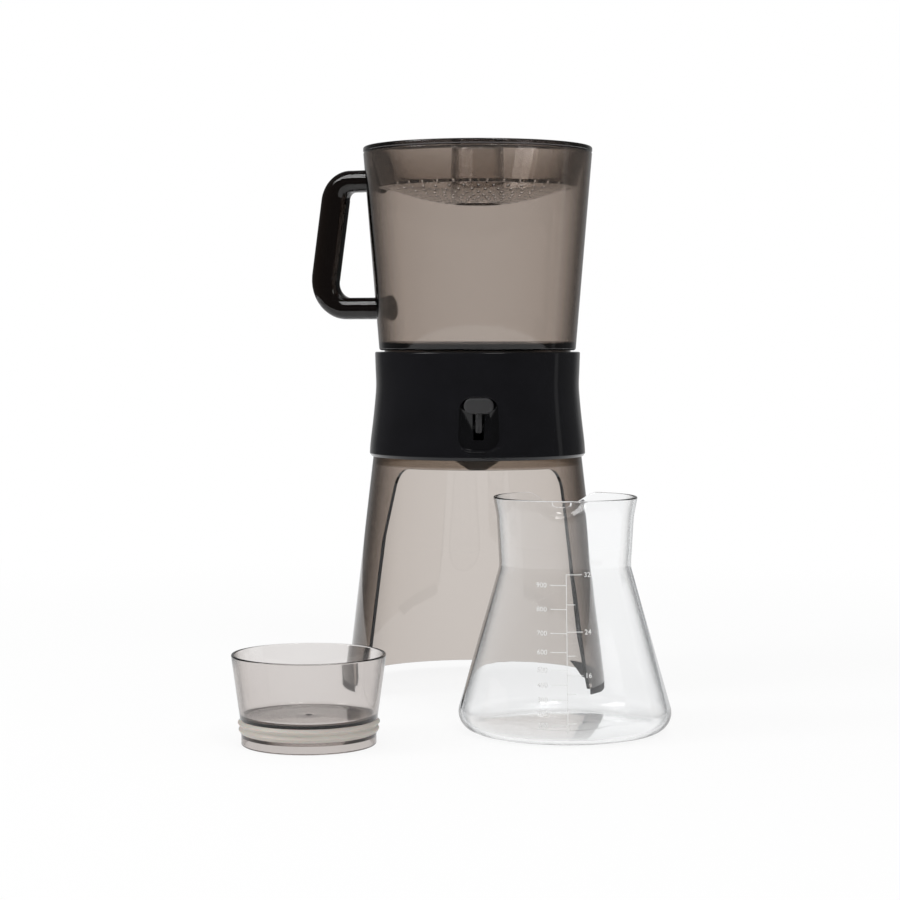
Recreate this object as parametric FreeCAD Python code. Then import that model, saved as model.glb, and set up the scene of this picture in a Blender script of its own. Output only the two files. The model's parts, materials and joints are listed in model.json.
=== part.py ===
import FreeCAD, Part
import math
import os

# Cold brew coffee maker: a brewing container on a stand, with its carafe and the
# carafe's stopper standing in front. Millimetres, +Z up, the front at -Y.
# The tower is drawn about its own axis from the skirt's foot upward, and its feet
# lift it off the table. The carafe and cup are drawn from the table upward. All of
# it is moved to the middle of the whole footprint just before it is written.

# ---------------------------------------------------------------- driving sizes

RUN_GAP = 0.05           # radial clearance of a pin or rod in its bore
FIT_GAP = 0.2            # gap between pieces that are pushed together by hand
SCREW_GAP = 0.15         # radial clearance round a screw's shank
THREAD_GAP = 0.03        # the same where the screw bites
CUT_PAST = 10.0          # how far a cut runs on past what it cuts

# stand skirt: a cone with an arched front opening
FOOT_R = 93.2            # outer radius at its foot
SKIRT_TAPER = 0.1166     # radius lost per millimetre of height
SKIRT_WALL = 2.6
SKIRT_TOP_Z = 166.0
SKIRT_RIM_W = 10.0       # inward rim that the cover and collar clamp
SKIRT_RIM_T = 2.0
ARCH_FOOT_HALF = 79.5    # half width of the arch at the skirt's foot
ARCH_TOP_HALF = 56.7     # half width where its sides would meet its top
ARCH_TOP_Z = 154.2
ARCH_CORNER_R = 18.0

# feet under the skirt's sides
FEET_H = 5.4             # how far they lift the skirt off the table
FEET_W = 4.0
FEET_IN = 0.3            # how far a foot stays inside the skirt's outside
FEET_LIP_H = 5.0         # lip that is bonded inside the skirt's wall
FEET_LIP_T = 1.4
FEET_EDGE_R = 0.8
FEET_BACK_TURN = 38.0    # angle from the side to a foot's back end
FEET_SLANT = 16.0        # how far a foot's back end leans forward

# collar: outside radii from its foot to its top
COLLAR_FOOT_Z = 160.7
COLLAR_FOOT_R = 75.6
COLLAR_WIDEST_Z = 162.8
COLLAR_WIDEST_R = 77.1
COLLAR_FLARE = [(76.5, 171.0), (74.7, 186.0), (73.25, 200.0)]
COLLAR_WAIST_Z = 211.0
COLLAR_WAIST_R = 72.5
COLLAR_TOP_Z = 234.8
COLLAR_TOP_R = 73.2
COLLAR_WALL = 3.0
COLLAR_EDGE_R = 0.9
LEDGE_T = 3.0            # thickness of both inner ledges
LOW_LEDGE_W = 7.0        # how far the lower ledge reaches in from the wall
TRAY_LEDGE_Z = 209.0     # top of the upper ledge, where the tray sits
TRAY_LEDGE_W = 14.0

# seat tray under the container
TRAY_FLOOR_T = 2.7
TRAY_WALL = 2.4
TRAY_TOP_Z = 233.6
TRAY_MOUTH_R = 24.0

# drain funnel
FUNNEL_WALL = 2.5
FUNNEL_FLANGE_R = 38.0
FUNNEL_FLANGE_T = 2.6
FUNNEL_KNEE_Z = 158.2    # where the steep cone turns into the spout
FUNNEL_KNEE_R = 17.2
FUNNEL_NECK_DROP = 20.0  # neck's foot below the flange's seat
FUNNEL_NECK_IN = 2.0     # radius lost over the neck
FUNNEL_MOUTH_H = 2.0     # straight length of the spout's bore
SPOUT_Z = 150.2
SPOUT_R = 6.5
SPOUT_BORE_R = 4.0
GUIDE_HUB_R = 6.0
GUIDE_HUB_Z = 174.0
GUIDE_HUB_H = 8.0
GUIDE_RIB_W = 2.0

# cover that closes the collar from below
COVER_T = 2.0
COVER_GAP = 0.8          # gap round both edges of the cover

# screws
SCREW_HEAD_R = 2.6
SCREW_HEAD_T = 1.6
SCREW_SHANK_R = 1.2
SCREW_BOSS_R = 3.2
TRAY_SCREW_RING_R = 59.0
TRAY_SCREW_L = 10.0
FUNNEL_SCREW_RING_R = 32.5
FUNNEL_SCREW_L = 8.0
COVER_SCREW_RING_R = 67.0
COVER_SCREW_L = 10.0
BEZEL_SCREW_L = 6.0
SCREW_REST = 2.0         # hole left beyond a screw's point

# lever pocket in the collar's front
POCKET_FOOT_Z = 168.1
POCKET_TOP_Z = 204.2
POCKET_FOOT_HALF = 14.5
POCKET_TOP_HALF = 13.0
POCKET_CORNER_R = 9.0
POCKET_LIP = 1.5         # width of the lip round the pocket
POCKET_PROUD = 0.35      # how far the lip stands out of the collar
POCKET_BACK_Y = -64.4
POCKET_BACK_T = 2.0
WINDOW_BACK = 12.0       # how far the collar's window runs behind the bezel's block
WINDOW_GAP = 1.0         # gap beside the window in the lower ledge
BEZEL_PLATE_T = 2.8
BEZEL_PLATE_HALF = 23.0
BEZEL_PLATE_FOOT_Z = 169.4
BEZEL_PLATE_TOP_Z = 205.4
BEZEL_SCREW_X = 19.6
BEZEL_SCREW_Z = 186.0
BEZEL_BOSS_W = 6.4
BEZEL_BOSS_H = 12.0
BEZEL_BOSS_D = 7.0
SLOT_HALF = 3.55
SLOT_FOOT_Z = 174.4
SLOT_TOP_Z = 203.4

# lever
PIVOT_Y = -57.5
PIVOT_Z = 184.0
PIN_R = 1.5
PIN_HALF = 7.4
EAR_IN = 4.0             # half the gap between the pivot ears
EAR_T = 2.6
EAR_H = 8.4
HUB_R = 3.6
HUB_HALF = 3.4
STEM_TOP_HALF = 2.35
STEM_FOOT_HALF = 2.0
STEM_FRONT_Y = -70.0
STEM_T = 3.5
STEM_FOOT_Z = 179.7
STEM_TOP_Z = 202.0
STEM_GROOVE_W = 1.2
STEM_GROOVE_D = 0.7
WEB_FOOT_Z = 180.9
WEB_TOP_Z = 188.6
FINGER_L = 10.0          # pivot to the middle of the finger's round tip
FINGER_TIP_R = 2.0
FINGER_RISE = 2.0
FINGER_HALF = 2.6
PAD_W = 20.5
PAD_H = 11.0
PAD_T = 4.6
PAD_Z = 198.2
PAD_EDGE_R = 1.6

# valve lifter in the funnel
LIFTER_R = 3.0
LIFTER_FOOT_Z = 171.5
LIFTER_ARM_HALF = 3.0
LIFTER_ARM_T = 3.0
LIFTER_ARM_OVER = 3.0    # how far the arm reaches past the finger's tip
LIFTER_STROKE = 3.5
LIFTER_PORT_GAP = 0.8

# brewing container
RIM_Z = 376.0
RIM_R = 81.4
CONTAINER_TAPER = 0.0805
CONTAINER_WALL = 2.5
CONTAINER_FLOOR_Z = 238.7
CONTAINER_FLOOR_T = 2.8
FOOT_RING_R = 66.5
FOOT_RING_WALL = 2.2
WELL_R = 38.6
WELL_WALL = 2.4
WELL_SHELF_Z = 231.0
WELL_SHELF_W = 2.6
WELL_FLOOR_Z = 225.2
WELL_FLOOR_T = 2.2
DRAIN_HOLE_R = 6.6
DRAIN_TUBE_R = 10.5
DRAIN_TUBE_WALL = 2.5
DRAIN_TUBE_FOOT_Z = 213.0

# handle: a bar in an upright plane that is turned back from the left
HANDLE_TURN = 27.0
HANDLE_TOP_Z = 359.0
HANDLE_FOOT_Z = 266.2
HANDLE_TOP_REACH = 114.4
HANDLE_FOOT_REACH = 128.2
HANDLE_TOP_BEND = 15.0
HANDLE_FOOT_BEND = 20.0
HANDLE_ARM_T = 15.8
HANDLE_LEG_T = 20.8
HANDLE_W = 16.4
HANDLE_EDGE_R = 6.5
HANDLE_BEND_STEPS = 4
HANDLE_ROOT_R = 9.4
HANDLE_ROOT_L = 4.0

# drain valve in the container
GUIDE_T = 2.2
GUIDE_RING_W = 1.3
GUIDE_CORE_R = 5.0
GUIDE_ARM_W = 1.6
STEM_R = 2.45
PLUNGER_FOOT_Z = 212.4
PLUNGER_FOOT_R = 3.2
PLUNGER_FOOT_T = 0.6
CLIP_R = 4.8
CLIP_T = 0.8
HEAD_R = 6.5
HEAD_T = 1.2
SEAL_R = 10.0
SEAL_T = 1.8
SPRING_R = 3.9
SPRING_WIRE_R = 0.35
SPRING_TURNS = 4.0
SPRING_STEPS = 20        # straight lengths in each turn
SPRING_SIDES = 10        # flats round the wire
LIFTER_TOP_GAP = 0.2

# filter in the well
GASKET_H = 5.0
GASKET_W = 3.0
GASKET_GROOVE_Z = 1.6    # groove above the gasket's underside
GASKET_GROOVE_D = 1.8
FRAME_T = 1.0
MESH_T = 0.6
FRAME_RIM_W = 3.4
FRAME_HUB_R = 6.0
FRAME_SPOKES = 6
FRAME_SPOKE_W = 2.4
FRAME_RING_R = 21.0
FRAME_RING_W = 2.0

# rain lid
LID_R = 81.5
LID_TOP_Z = 380.0
LID_FLANGE_T = 3.4
LID_BOWL_R = 76.6        # outside of the bowl just under the flange
LID_BOWL_FOOT_R = 70.4
LID_BOWL_FOOT_Z = 351.2
LID_WALL = 2.2
PLATE_R = 68.0
PLATE_T = 2.0
PLATE_RIM_Z = 354.2      # top of the plate's flat rim
PLATE_RIM_W = 1.8
PLATE_LOW_Z = 340.9      # top face at the plate's middle
HOLE_R = 1.15
HOLE_RINGS = 8
HOLES_PER_RING = 36
HOLE_FIRST_R = 22.6
HOLE_PITCH = 6.0
KNOB_R = 19.2
KNOB_TOP_Z = 376.8
KNOB_WALL = 2.0
KNOB_DRAFT = 1.0
KNOB_ROUND = 4.5
KNOB_SEAT_W = 1.4

# carafe
CARAFE_X = 53.8
CARAFE_Y = -179.7
CARAFE_H = 149.6
CARAFE_BOTTOM_R = 71.9   # where the straight side would meet the table
CARAFE_CORNER_R = 11.7
CARAFE_NECK_Z = 105.1
CARAFE_NECK_R = 41.9
CARAFE_NECK_BEND = 18.0
CARAFE_FLARE_Z = 137.1
CARAFE_FLARE_R = 43.7
CARAFE_FLARE_BEND = 20.0
CARAFE_RIM_R = 46.0
CARAFE_WALL = 1.8
CARAFE_BASE_T = 2.2
LIP_DIP = 12.0
LIP_HALF = 12.0
LIP_SHOULDER = 10.0

# stopper cup and its seal
CUP_X = -106.9
CUP_Y = -229.4
CUP_H = 55.9
CUP_RIM_R = 48.0
CUP_FOOT_R = 42.5        # outside of the wall where it leaves the seal
CUP_WALL = 1.9
CUP_FLOOR_Z = 17.6
CUP_FLOOR_T = 2.0
CUP_RING_R = 41.8
CUP_RING_WALL = 2.4
GROOVE_FOOT_Z = 7.4
GROOVE_TOP_Z = 15.8
GROOVE_R = 39.8
SEAL_BODY_R = 42.3
SEAL_RIB_R = 44.1

# ---------------------------------------------------------------- worked-out sizes

UP = FreeCAD.Vector(0, 0, 1)
ACROSS = FreeCAD.Vector(1, 0, 0)
BACK = FreeCAD.Vector(0, 1, 0)
ORIGIN = FreeCAD.Vector(0, 0, 0)

LOW_LEDGE_Z = SKIRT_TOP_Z
COVER_Z = SKIRT_TOP_Z - SKIRT_RIM_T - COVER_T
COLLAR_BORE_R = COLLAR_WAIST_R - COLLAR_WALL + 0.4
TRAY_R = COLLAR_BORE_R - FIT_GAP
TRAY_FLOOR_TOP = TRAY_LEDGE_Z + TRAY_FLOOR_T
BEZEL_BLOCK_Y = POCKET_BACK_Y + POCKET_BACK_T
BEZEL_BACK_Y = BEZEL_BLOCK_Y + BEZEL_PLATE_T
WELL_FLOOR_FOOT = WELL_FLOOR_Z - WELL_FLOOR_T
GUIDE_FOOT_Z = WELL_FLOOR_FOOT - GUIDE_T
CONTAINER_FLOOR_FOOT = CONTAINER_FLOOR_Z - CONTAINER_FLOOR_T
CLIP_Z = PLUNGER_FOOT_Z + PLUNGER_FOOT_T
LIFTER_ARM_Z = PIVOT_Z + FINGER_RISE + FINGER_TIP_R
LIFTER_TOP_Z = PLUNGER_FOOT_Z - LIFTER_TOP_GAP
FRAME_Z = WELL_SHELF_Z + GASKET_GROOVE_Z
FRAME_R = WELL_R - FIT_GAP - GASKET_W + GASKET_GROOVE_D
LEDGE_SEAT_Z = PLATE_RIM_Z - PLATE_T
KNOB_SEAT_Z = PLATE_LOW_Z + KNOB_SEAT_W


def skirt_radius(height):
    """Outside radius of the skirt at a height."""
    return FOOT_R - SKIRT_TAPER * height


def container_radius(height):
    """Outside radius of the container at a height."""
    return RIM_R - CONTAINER_TAPER * (RIM_Z - height)


# ---------------------------------------------------------------- drawing helpers


def upright_plane(a, b):
    """A point of a turned profile, or of one seen from the front: x = a, z = b."""
    return FreeCAD.Vector(a, 0, b)


def side_plane(a, b):
    """A point of a profile seen from the side: y = a, z = b."""
    return FreeCAD.Vector(0, a, b)


def outline_edges(corners, place):
    """Edges of a closed outline; a corner's third number is its rounding radius."""
    flat = [FreeCAD.Vector(corner[0], corner[1], 0) for corner in corners]
    count = len(flat)
    enters = []
    middles = []
    leaves = []
    for i in range(count):
        radius = corners[i][2] if len(corners[i]) > 2 else 0
        if radius == 0:
            enters.append(flat[i])
            middles.append(None)
            leaves.append(flat[i])
            continue
        back = (flat[i - 1] - flat[i]).normalize()
        ahead = (flat[(i + 1) % count] - flat[i]).normalize()
        half = back.getAngle(ahead) / 2
        centre = flat[i] + (back + ahead).normalize() * (radius / math.sin(half))
        enters.append(flat[i] + back * (radius / math.tan(half)))
        middles.append(centre + (flat[i] - centre).normalize() * radius)
        leaves.append(flat[i] + ahead * (radius / math.tan(half)))
    edges = []
    for i in range(count):
        if middles[i] is not None:
            points = [place(p.x, p.y) for p in (enters[i], middles[i], leaves[i])]
            edges.append(Part.Arc(*points).toShape())
        start = place(leaves[i].x, leaves[i].y)
        end = place(enters[(i + 1) % count].x, enters[(i + 1) % count].y)
        if start.distanceToPoint(end) > 1e-6:
            edges.append(Part.makeLine(start, end))
    return edges


def turned(corners):
    """Solid turned about Z from (radius, height[, rounding]) corners."""
    face = Part.Face(Part.Wire(outline_edges(corners, upright_plane)))
    return face.revolve(ORIGIN, UP, 360)


def extruded_front(corners, y_from, y_to):
    """Solid from an outline seen from the front, between two depths."""
    face = Part.Face(Part.Wire(outline_edges(corners, upright_plane)))
    face.translate(BACK * y_from)
    return face.extrude(BACK * (y_to - y_from))


def extruded_side(corners, half):
    """Solid from an outline seen from the side, the same width to both sides."""
    face = Part.Face(Part.Wire(outline_edges(corners, side_plane)))
    face.translate(ACROSS * -half)
    return face.extrude(ACROSS * (2 * half))


def box(x_range, y_range, z_range):
    """Box between two values on each axis."""
    corner = FreeCAD.Vector(x_range[0], y_range[0], z_range[0])
    sizes = [r[1] - r[0] for r in (x_range, y_range, z_range)]
    return Part.makeBox(*sizes, corner)


def rod(radius, z_from, z_to, x=0.0, y=0.0):
    """Upright cylinder between two heights."""
    return Part.makeCylinder(radius, z_to - z_from, FreeCAD.Vector(x, y, z_from), UP)


def ring(outer, inner, z_from, z_to):
    """Flat ring between two heights."""
    return rod(outer, z_from, z_to).cut(rod(inner, z_from - 1, z_to + 1))


def around(radius, angles):
    """Places on a circle about the tower's axis, at angles in degrees."""
    places = []
    for angle in angles:
        turn = math.radians(angle)
        places.append((radius * math.cos(turn), radius * math.sin(turn)))
    return places


def spokes(angles, width, r_from, r_to, z_from, z_to):
    """Straight ribs that run outward from the axis."""
    ribs = []
    for angle in angles:
        rib = box((r_from, r_to), (-width / 2, width / 2), (z_from, z_to))
        rib.rotate(ORIGIN, UP, angle)
        ribs.append(rib)
    return ribs


def upright_screw(x, y, seat_z, length):
    """Pan head screw driven upward, its head under seat_z."""
    corners = [
        (0, seat_z - SCREW_HEAD_T),
        (SCREW_HEAD_R, seat_z - SCREW_HEAD_T, SCREW_HEAD_T * 0.6),
        (SCREW_HEAD_R, seat_z),
        (SCREW_SHANK_R, seat_z),
        (SCREW_SHANK_R, seat_z + length - SCREW_SHANK_R),
        (0, seat_z + length),
    ]
    screw = turned(corners)
    slot = box((-SCREW_HEAD_R, SCREW_HEAD_R), (-0.35, 0.35), (seat_z - 2 * SCREW_HEAD_T, seat_z - 0.8))
    screw = screw.cut(slot)
    screw.translate(FreeCAD.Vector(x, y, 0))
    return screw


def screw_holes(places, z_from, z_to, gap):
    """Cylinders that clear a ring of screws by a gap."""
    return [rod(SCREW_SHANK_R + gap, z_from, z_to, x, y) for x, y in places]


def group(solids):
    """Separate solids that share one node."""
    return Part.makeCompound(solids)


TRAY_SCREWS = around(TRAY_SCREW_RING_R, (30, 90, 150))
FUNNEL_SCREWS = around(FUNNEL_SCREW_RING_R, (30, 150, 210, 330))
COVER_SCREWS = around(COVER_SCREW_RING_R, (90, 210, 330))

# ---------------------------------------------------------------- stand


def stand_skirt():
    """Smoked cone that carries the collar, open in front under an arch."""
    rim_foot = SKIRT_TOP_Z - SKIRT_RIM_T
    top_r = skirt_radius(SKIRT_TOP_Z)
    skirt = turned([
        (FOOT_R, 0, 0.8),
        (top_r, SKIRT_TOP_Z),
        (top_r - SKIRT_WALL - SKIRT_RIM_W, SKIRT_TOP_Z),
        (top_r - SKIRT_WALL - SKIRT_RIM_W, rim_foot),
        (skirt_radius(rim_foot) - SKIRT_WALL, rim_foot),
        (FOOT_R - SKIRT_WALL, 0, 0.8),
    ])
    slope = (ARCH_FOOT_HALF - ARCH_TOP_HALF) / ARCH_TOP_Z
    below = ARCH_FOOT_HALF + slope * CUT_PAST
    arch = extruded_front([
        (-below, -CUT_PAST),
        (below, -CUT_PAST),
        (ARCH_TOP_HALF, ARCH_TOP_Z, ARCH_CORNER_R),
        (-ARCH_TOP_HALF, ARCH_TOP_Z, ARCH_CORNER_R),
    ], -FOOT_R - CUT_PAST, 0)
    holes = screw_holes(COVER_SCREWS, rim_foot - 1, SKIRT_TOP_Z + 1, SCREW_GAP)
    return skirt.cut([arch] + holes)


def stand_feet():
    """Two curved rubber feet under the skirt's sides, from the arch backward."""
    outside = FOOT_R - FEET_IN
    lip_foot = FOOT_R - SKIRT_WALL - RUN_GAP
    lip_top = skirt_radius(FEET_LIP_H) - SKIRT_WALL - RUN_GAP
    feet = turned([
        (outside, -FEET_H, FEET_EDGE_R),
        (outside, 0),
        (lip_foot, 0),
        (lip_top, FEET_LIP_H),
        (lip_top - FEET_LIP_T, FEET_LIP_H),
        (outside - FEET_W, 0),
        (outside - FEET_W, -FEET_H, FEET_EDGE_R),
    ])
    feet.rotate(ORIGIN, UP, -90)
    lean = math.degrees(math.atan(FEET_SLANT / (FEET_H + FEET_LIP_H)))
    reach = FOOT_R + CUT_PAST
    back = box((0, reach), (0, reach), (-reach, reach))
    back.rotate(ORIGIN, ACROSS, -lean)
    back.translate(UP * FEET_LIP_H)
    back.rotate(ORIGIN, UP, FEET_BACK_TURN)
    front = box((-ARCH_FOOT_HALF, ARCH_FOOT_HALF), (-reach, 0), (-reach, reach))
    feet = feet.cut([front, back, back.mirror(ORIGIN, ACROSS)])
    return group(feet.Solids)


def collar_outside(proud):
    """Edges of the collar's outer side, from foot to top, moved out by proud."""
    curve = [(COLLAR_WIDEST_R, COLLAR_WIDEST_Z)] + COLLAR_FLARE
    middle_r = (COLLAR_WAIST_R + COLLAR_TOP_R) / 2
    middle_z = (COLLAR_WAIST_Z + COLLAR_TOP_Z - COLLAR_EDGE_R) / 2
    curve += [(COLLAR_WAIST_R, COLLAR_WAIST_Z), (middle_r, middle_z)]
    curve += [(COLLAR_TOP_R, COLLAR_TOP_Z - COLLAR_EDGE_R)]
    side = Part.BSplineCurve()
    side.interpolate([upright_plane(r + proud, z) for r, z in curve])
    foot = upright_plane(COLLAR_FOOT_R + proud, COLLAR_FOOT_Z)
    widest = upright_plane(COLLAR_WIDEST_R + proud, COLLAR_WIDEST_Z)
    shoulder = upright_plane(COLLAR_TOP_R + proud, COLLAR_TOP_Z - COLLAR_EDGE_R)
    brow = upright_plane(COLLAR_TOP_R + proud - COLLAR_EDGE_R, COLLAR_TOP_Z)
    bulge = COLLAR_EDGE_R * (1 - math.sqrt(0.5))
    corner = upright_plane(COLLAR_TOP_R + proud - bulge, COLLAR_TOP_Z - bulge)
    return [
        Part.makeLine(foot, widest),
        side.toShape(),
        Part.Arc(shoulder, corner, brow).toShape(),
    ]


def collar_filled(proud):
    """The collar's outer form as one full solid."""
    edges = collar_outside(proud)
    top = upright_plane(COLLAR_TOP_R + proud - COLLAR_EDGE_R, COLLAR_TOP_Z)
    foot = upright_plane(COLLAR_FOOT_R + proud, COLLAR_FOOT_Z)
    axis_top = upright_plane(0, COLLAR_TOP_Z)
    axis_foot = upright_plane(0, COLLAR_FOOT_Z)
    edges.append(Part.makeLine(top, axis_top))
    edges.append(Part.makeLine(axis_top, axis_foot))
    edges.append(Part.makeLine(axis_foot, foot))
    return Part.Face(Part.Wire(edges)).revolve(ORIGIN, UP, 360)


def pocket_corners(grow):
    """Rounded outline of the lever pocket, grown outward all round."""
    radius = POCKET_CORNER_R + grow
    foot = POCKET_FOOT_HALF + grow
    top = POCKET_TOP_HALF + grow
    return [
        (-foot, POCKET_FOOT_Z - grow, radius),
        (foot, POCKET_FOOT_Z - grow, radius),
        (top, POCKET_TOP_Z + grow, radius),
        (-top, POCKET_TOP_Z + grow, radius),
    ]


def collar_shell():
    """Black waisted collar with a ledge for the tray and one for the skirt."""
    ledge_low_r = skirt_radius(SKIRT_TOP_Z) - SKIRT_WALL - LOW_LEDGE_W
    low_top = LOW_LEDGE_Z + LEDGE_T
    cavity = turned([
        (0, COLLAR_FOOT_Z - 1),
        (skirt_radius(COLLAR_FOOT_Z - 1) + FIT_GAP, COLLAR_FOOT_Z - 1),
        (skirt_radius(SKIRT_TOP_Z) + FIT_GAP, LOW_LEDGE_Z),
        (ledge_low_r, LOW_LEDGE_Z),
        (ledge_low_r, low_top),
        (COLLAR_BORE_R, low_top),
        (COLLAR_BORE_R, TRAY_LEDGE_Z - LEDGE_T),
        (COLLAR_BORE_R - TRAY_LEDGE_W, TRAY_LEDGE_Z - LEDGE_T),
        (COLLAR_BORE_R - TRAY_LEDGE_W, TRAY_LEDGE_Z),
        (COLLAR_BORE_R, TRAY_LEDGE_Z),
        (COLLAR_BORE_R, COLLAR_TOP_Z + 1),
        (0, COLLAR_TOP_Z + 1),
    ])
    shell = collar_filled(0).cut(cavity)
    bosses = []
    for x, y in COVER_SCREWS:
        boss = rod(SCREW_BOSS_R, LOW_LEDGE_Z, LOW_LEDGE_Z + COVER_SCREW_L, x, y)
        bosses.append(boss.common(collar_filled(0)))
    for side in (-1, 1):
        low_x = side * BEZEL_SCREW_X - BEZEL_BOSS_W / 2
        half_h = BEZEL_BOSS_H / 2
        bosses.append(box(
            (low_x, low_x + BEZEL_BOSS_W),
            (BEZEL_BLOCK_Y - BEZEL_BOSS_D, BEZEL_BLOCK_Y),
            (BEZEL_SCREW_Z - half_h, BEZEL_SCREW_Z + half_h),
        ))
    shell = shell.fuse(bosses)
    window_end = BEZEL_BLOCK_Y + WINDOW_BACK
    window = extruded_front(pocket_corners(POCKET_LIP), -COLLAR_WIDEST_R - CUT_PAST, window_end)
    clear_half = POCKET_FOOT_HALF + POCKET_LIP + WINDOW_GAP
    ledge_gap = box(
        (-clear_half, clear_half),
        (-COLLAR_BORE_R, window_end),
        (LOW_LEDGE_Z - 0.1, low_top + 0.1),
    )
    holes = screw_holes(TRAY_SCREWS, TRAY_LEDGE_Z - LEDGE_T - 1, TRAY_LEDGE_Z + 1, SCREW_GAP)
    thread_top = LOW_LEDGE_Z + COVER_SCREW_L - 1
    low_holes = screw_holes(COVER_SCREWS, LOW_LEDGE_Z - 1, thread_top, THREAD_GAP)
    bezel_holes = []
    for side in (-1, 1):
        bezel_holes.append(Part.makeCylinder(
            SCREW_SHANK_R + THREAD_GAP,
            BEZEL_SCREW_L,
            FreeCAD.Vector(side * BEZEL_SCREW_X, BEZEL_BLOCK_Y, BEZEL_SCREW_Z),
            BACK * -1,
        ))
    return shell.cut([window, ledge_gap] + holes + low_holes + bezel_holes)


def seat_tray():
    """Dish that the container's foot ring drops into, with a drain mouth."""
    tray = turned([
        (TRAY_MOUTH_R, TRAY_LEDGE_Z),
        (TRAY_R, TRAY_LEDGE_Z),
        (TRAY_R, TRAY_TOP_Z, 0.8),
        (TRAY_R - TRAY_WALL, TRAY_TOP_Z, 0.8),
        (TRAY_R - TRAY_WALL, TRAY_FLOOR_TOP),
        (TRAY_MOUTH_R, TRAY_FLOOR_TOP, 1.0),
    ])
    top_tray = TRAY_LEDGE_Z - LEDGE_T + TRAY_SCREW_L
    top_funnel = TRAY_LEDGE_Z - FUNNEL_FLANGE_T + FUNNEL_SCREW_L
    bosses = [rod(SCREW_BOSS_R, TRAY_LEDGE_Z + 1, top_tray + 1, x, y) for x, y in TRAY_SCREWS]
    bosses += [rod(SCREW_BOSS_R, TRAY_LEDGE_Z + 1, top_funnel + 1, x, y) for x, y in FUNNEL_SCREWS]
    holes = screw_holes(TRAY_SCREWS, TRAY_LEDGE_Z - 1, top_tray, THREAD_GAP)
    holes += screw_holes(FUNNEL_SCREWS, TRAY_LEDGE_Z - 1, top_funnel, THREAD_GAP)
    return tray.fuse(bosses).cut(holes)


def funnel_bore():
    """The space inside the drain funnel."""
    return turned([
        (0, SPOUT_Z - 1),
        (SPOUT_BORE_R, SPOUT_Z - 1),
        (SPOUT_BORE_R, SPOUT_Z + FUNNEL_MOUTH_H),
        (FUNNEL_KNEE_R - FUNNEL_WALL, FUNNEL_KNEE_Z + FUNNEL_MOUTH_H),
        (TRAY_MOUTH_R - FUNNEL_NECK_IN, TRAY_LEDGE_Z - FUNNEL_NECK_DROP),
        (TRAY_MOUTH_R, TRAY_LEDGE_Z + 1),
        (0, TRAY_LEDGE_Z + 1),
    ])


def drain_funnel():
    """Funnel under the tray, with a spout and a ribbed guide for the lifter."""
    neck_r = TRAY_MOUTH_R + FUNNEL_WALL
    flange_foot = TRAY_LEDGE_Z - FUNNEL_FLANGE_T
    body = turned([
        (0, SPOUT_Z),
        (SPOUT_R, SPOUT_Z, 0.6),
        (FUNNEL_KNEE_R, FUNNEL_KNEE_Z, 2.0),
        (neck_r - FUNNEL_NECK_IN, TRAY_LEDGE_Z - FUNNEL_NECK_DROP),
        (neck_r, flange_foot),
        (FUNNEL_FLANGE_R, flange_foot),
        (FUNNEL_FLANGE_R, TRAY_LEDGE_Z),
        (0, TRAY_LEDGE_Z),
    ])
    shell = body.cut(funnel_bore())
    hub_top = GUIDE_HUB_Z + GUIDE_HUB_H
    guide = [rod(GUIDE_HUB_R, GUIDE_HUB_Z, hub_top)]
    rib_end = neck_r - FUNNEL_NECK_IN - 1
    guide += spokes((30, 150, 270), GUIDE_RIB_W, GUIDE_HUB_R - 1, rib_end, GUIDE_HUB_Z, hub_top)
    shell = shell.fuse(guide)
    port_top = LIFTER_ARM_Z + LIFTER_ARM_T + LIFTER_STROKE + LIFTER_PORT_GAP
    port_half = LIFTER_ARM_HALF + LIFTER_PORT_GAP
    port = box(
        (-port_half, port_half),
        (-neck_r - CUT_PAST, -GUIDE_HUB_R - 1),
        (LIFTER_ARM_Z - LIFTER_PORT_GAP, port_top),
    )
    bore = rod(LIFTER_R + RUN_GAP, GUIDE_HUB_Z - 1, hub_top + 1)
    holes = screw_holes(FUNNEL_SCREWS, flange_foot - 1, TRAY_LEDGE_Z + 1, SCREW_GAP)
    return shell.cut([port, bore] + holes)


def under_cover():
    """Flat ring that closes the collar between the skirt and the funnel."""
    top = COVER_Z + COVER_T
    outer = skirt_radius(COVER_Z) - SKIRT_WALL - COVER_GAP
    inner = funnel_radius(top) + COVER_GAP
    cover = ring(outer, inner, COVER_Z, top)
    return cover.cut(screw_holes(COVER_SCREWS, COVER_Z - 1, top + 1, SCREW_GAP))


def funnel_radius(height):
    """Outside radius of the funnel above its knee."""
    wide = TRAY_MOUTH_R + FUNNEL_WALL - FUNNEL_NECK_IN
    share = (height - FUNNEL_KNEE_Z) / (TRAY_LEDGE_Z - FUNNEL_NECK_DROP - FUNNEL_KNEE_Z)
    return FUNNEL_KNEE_R + (wide - FUNNEL_KNEE_R) * share


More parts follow.
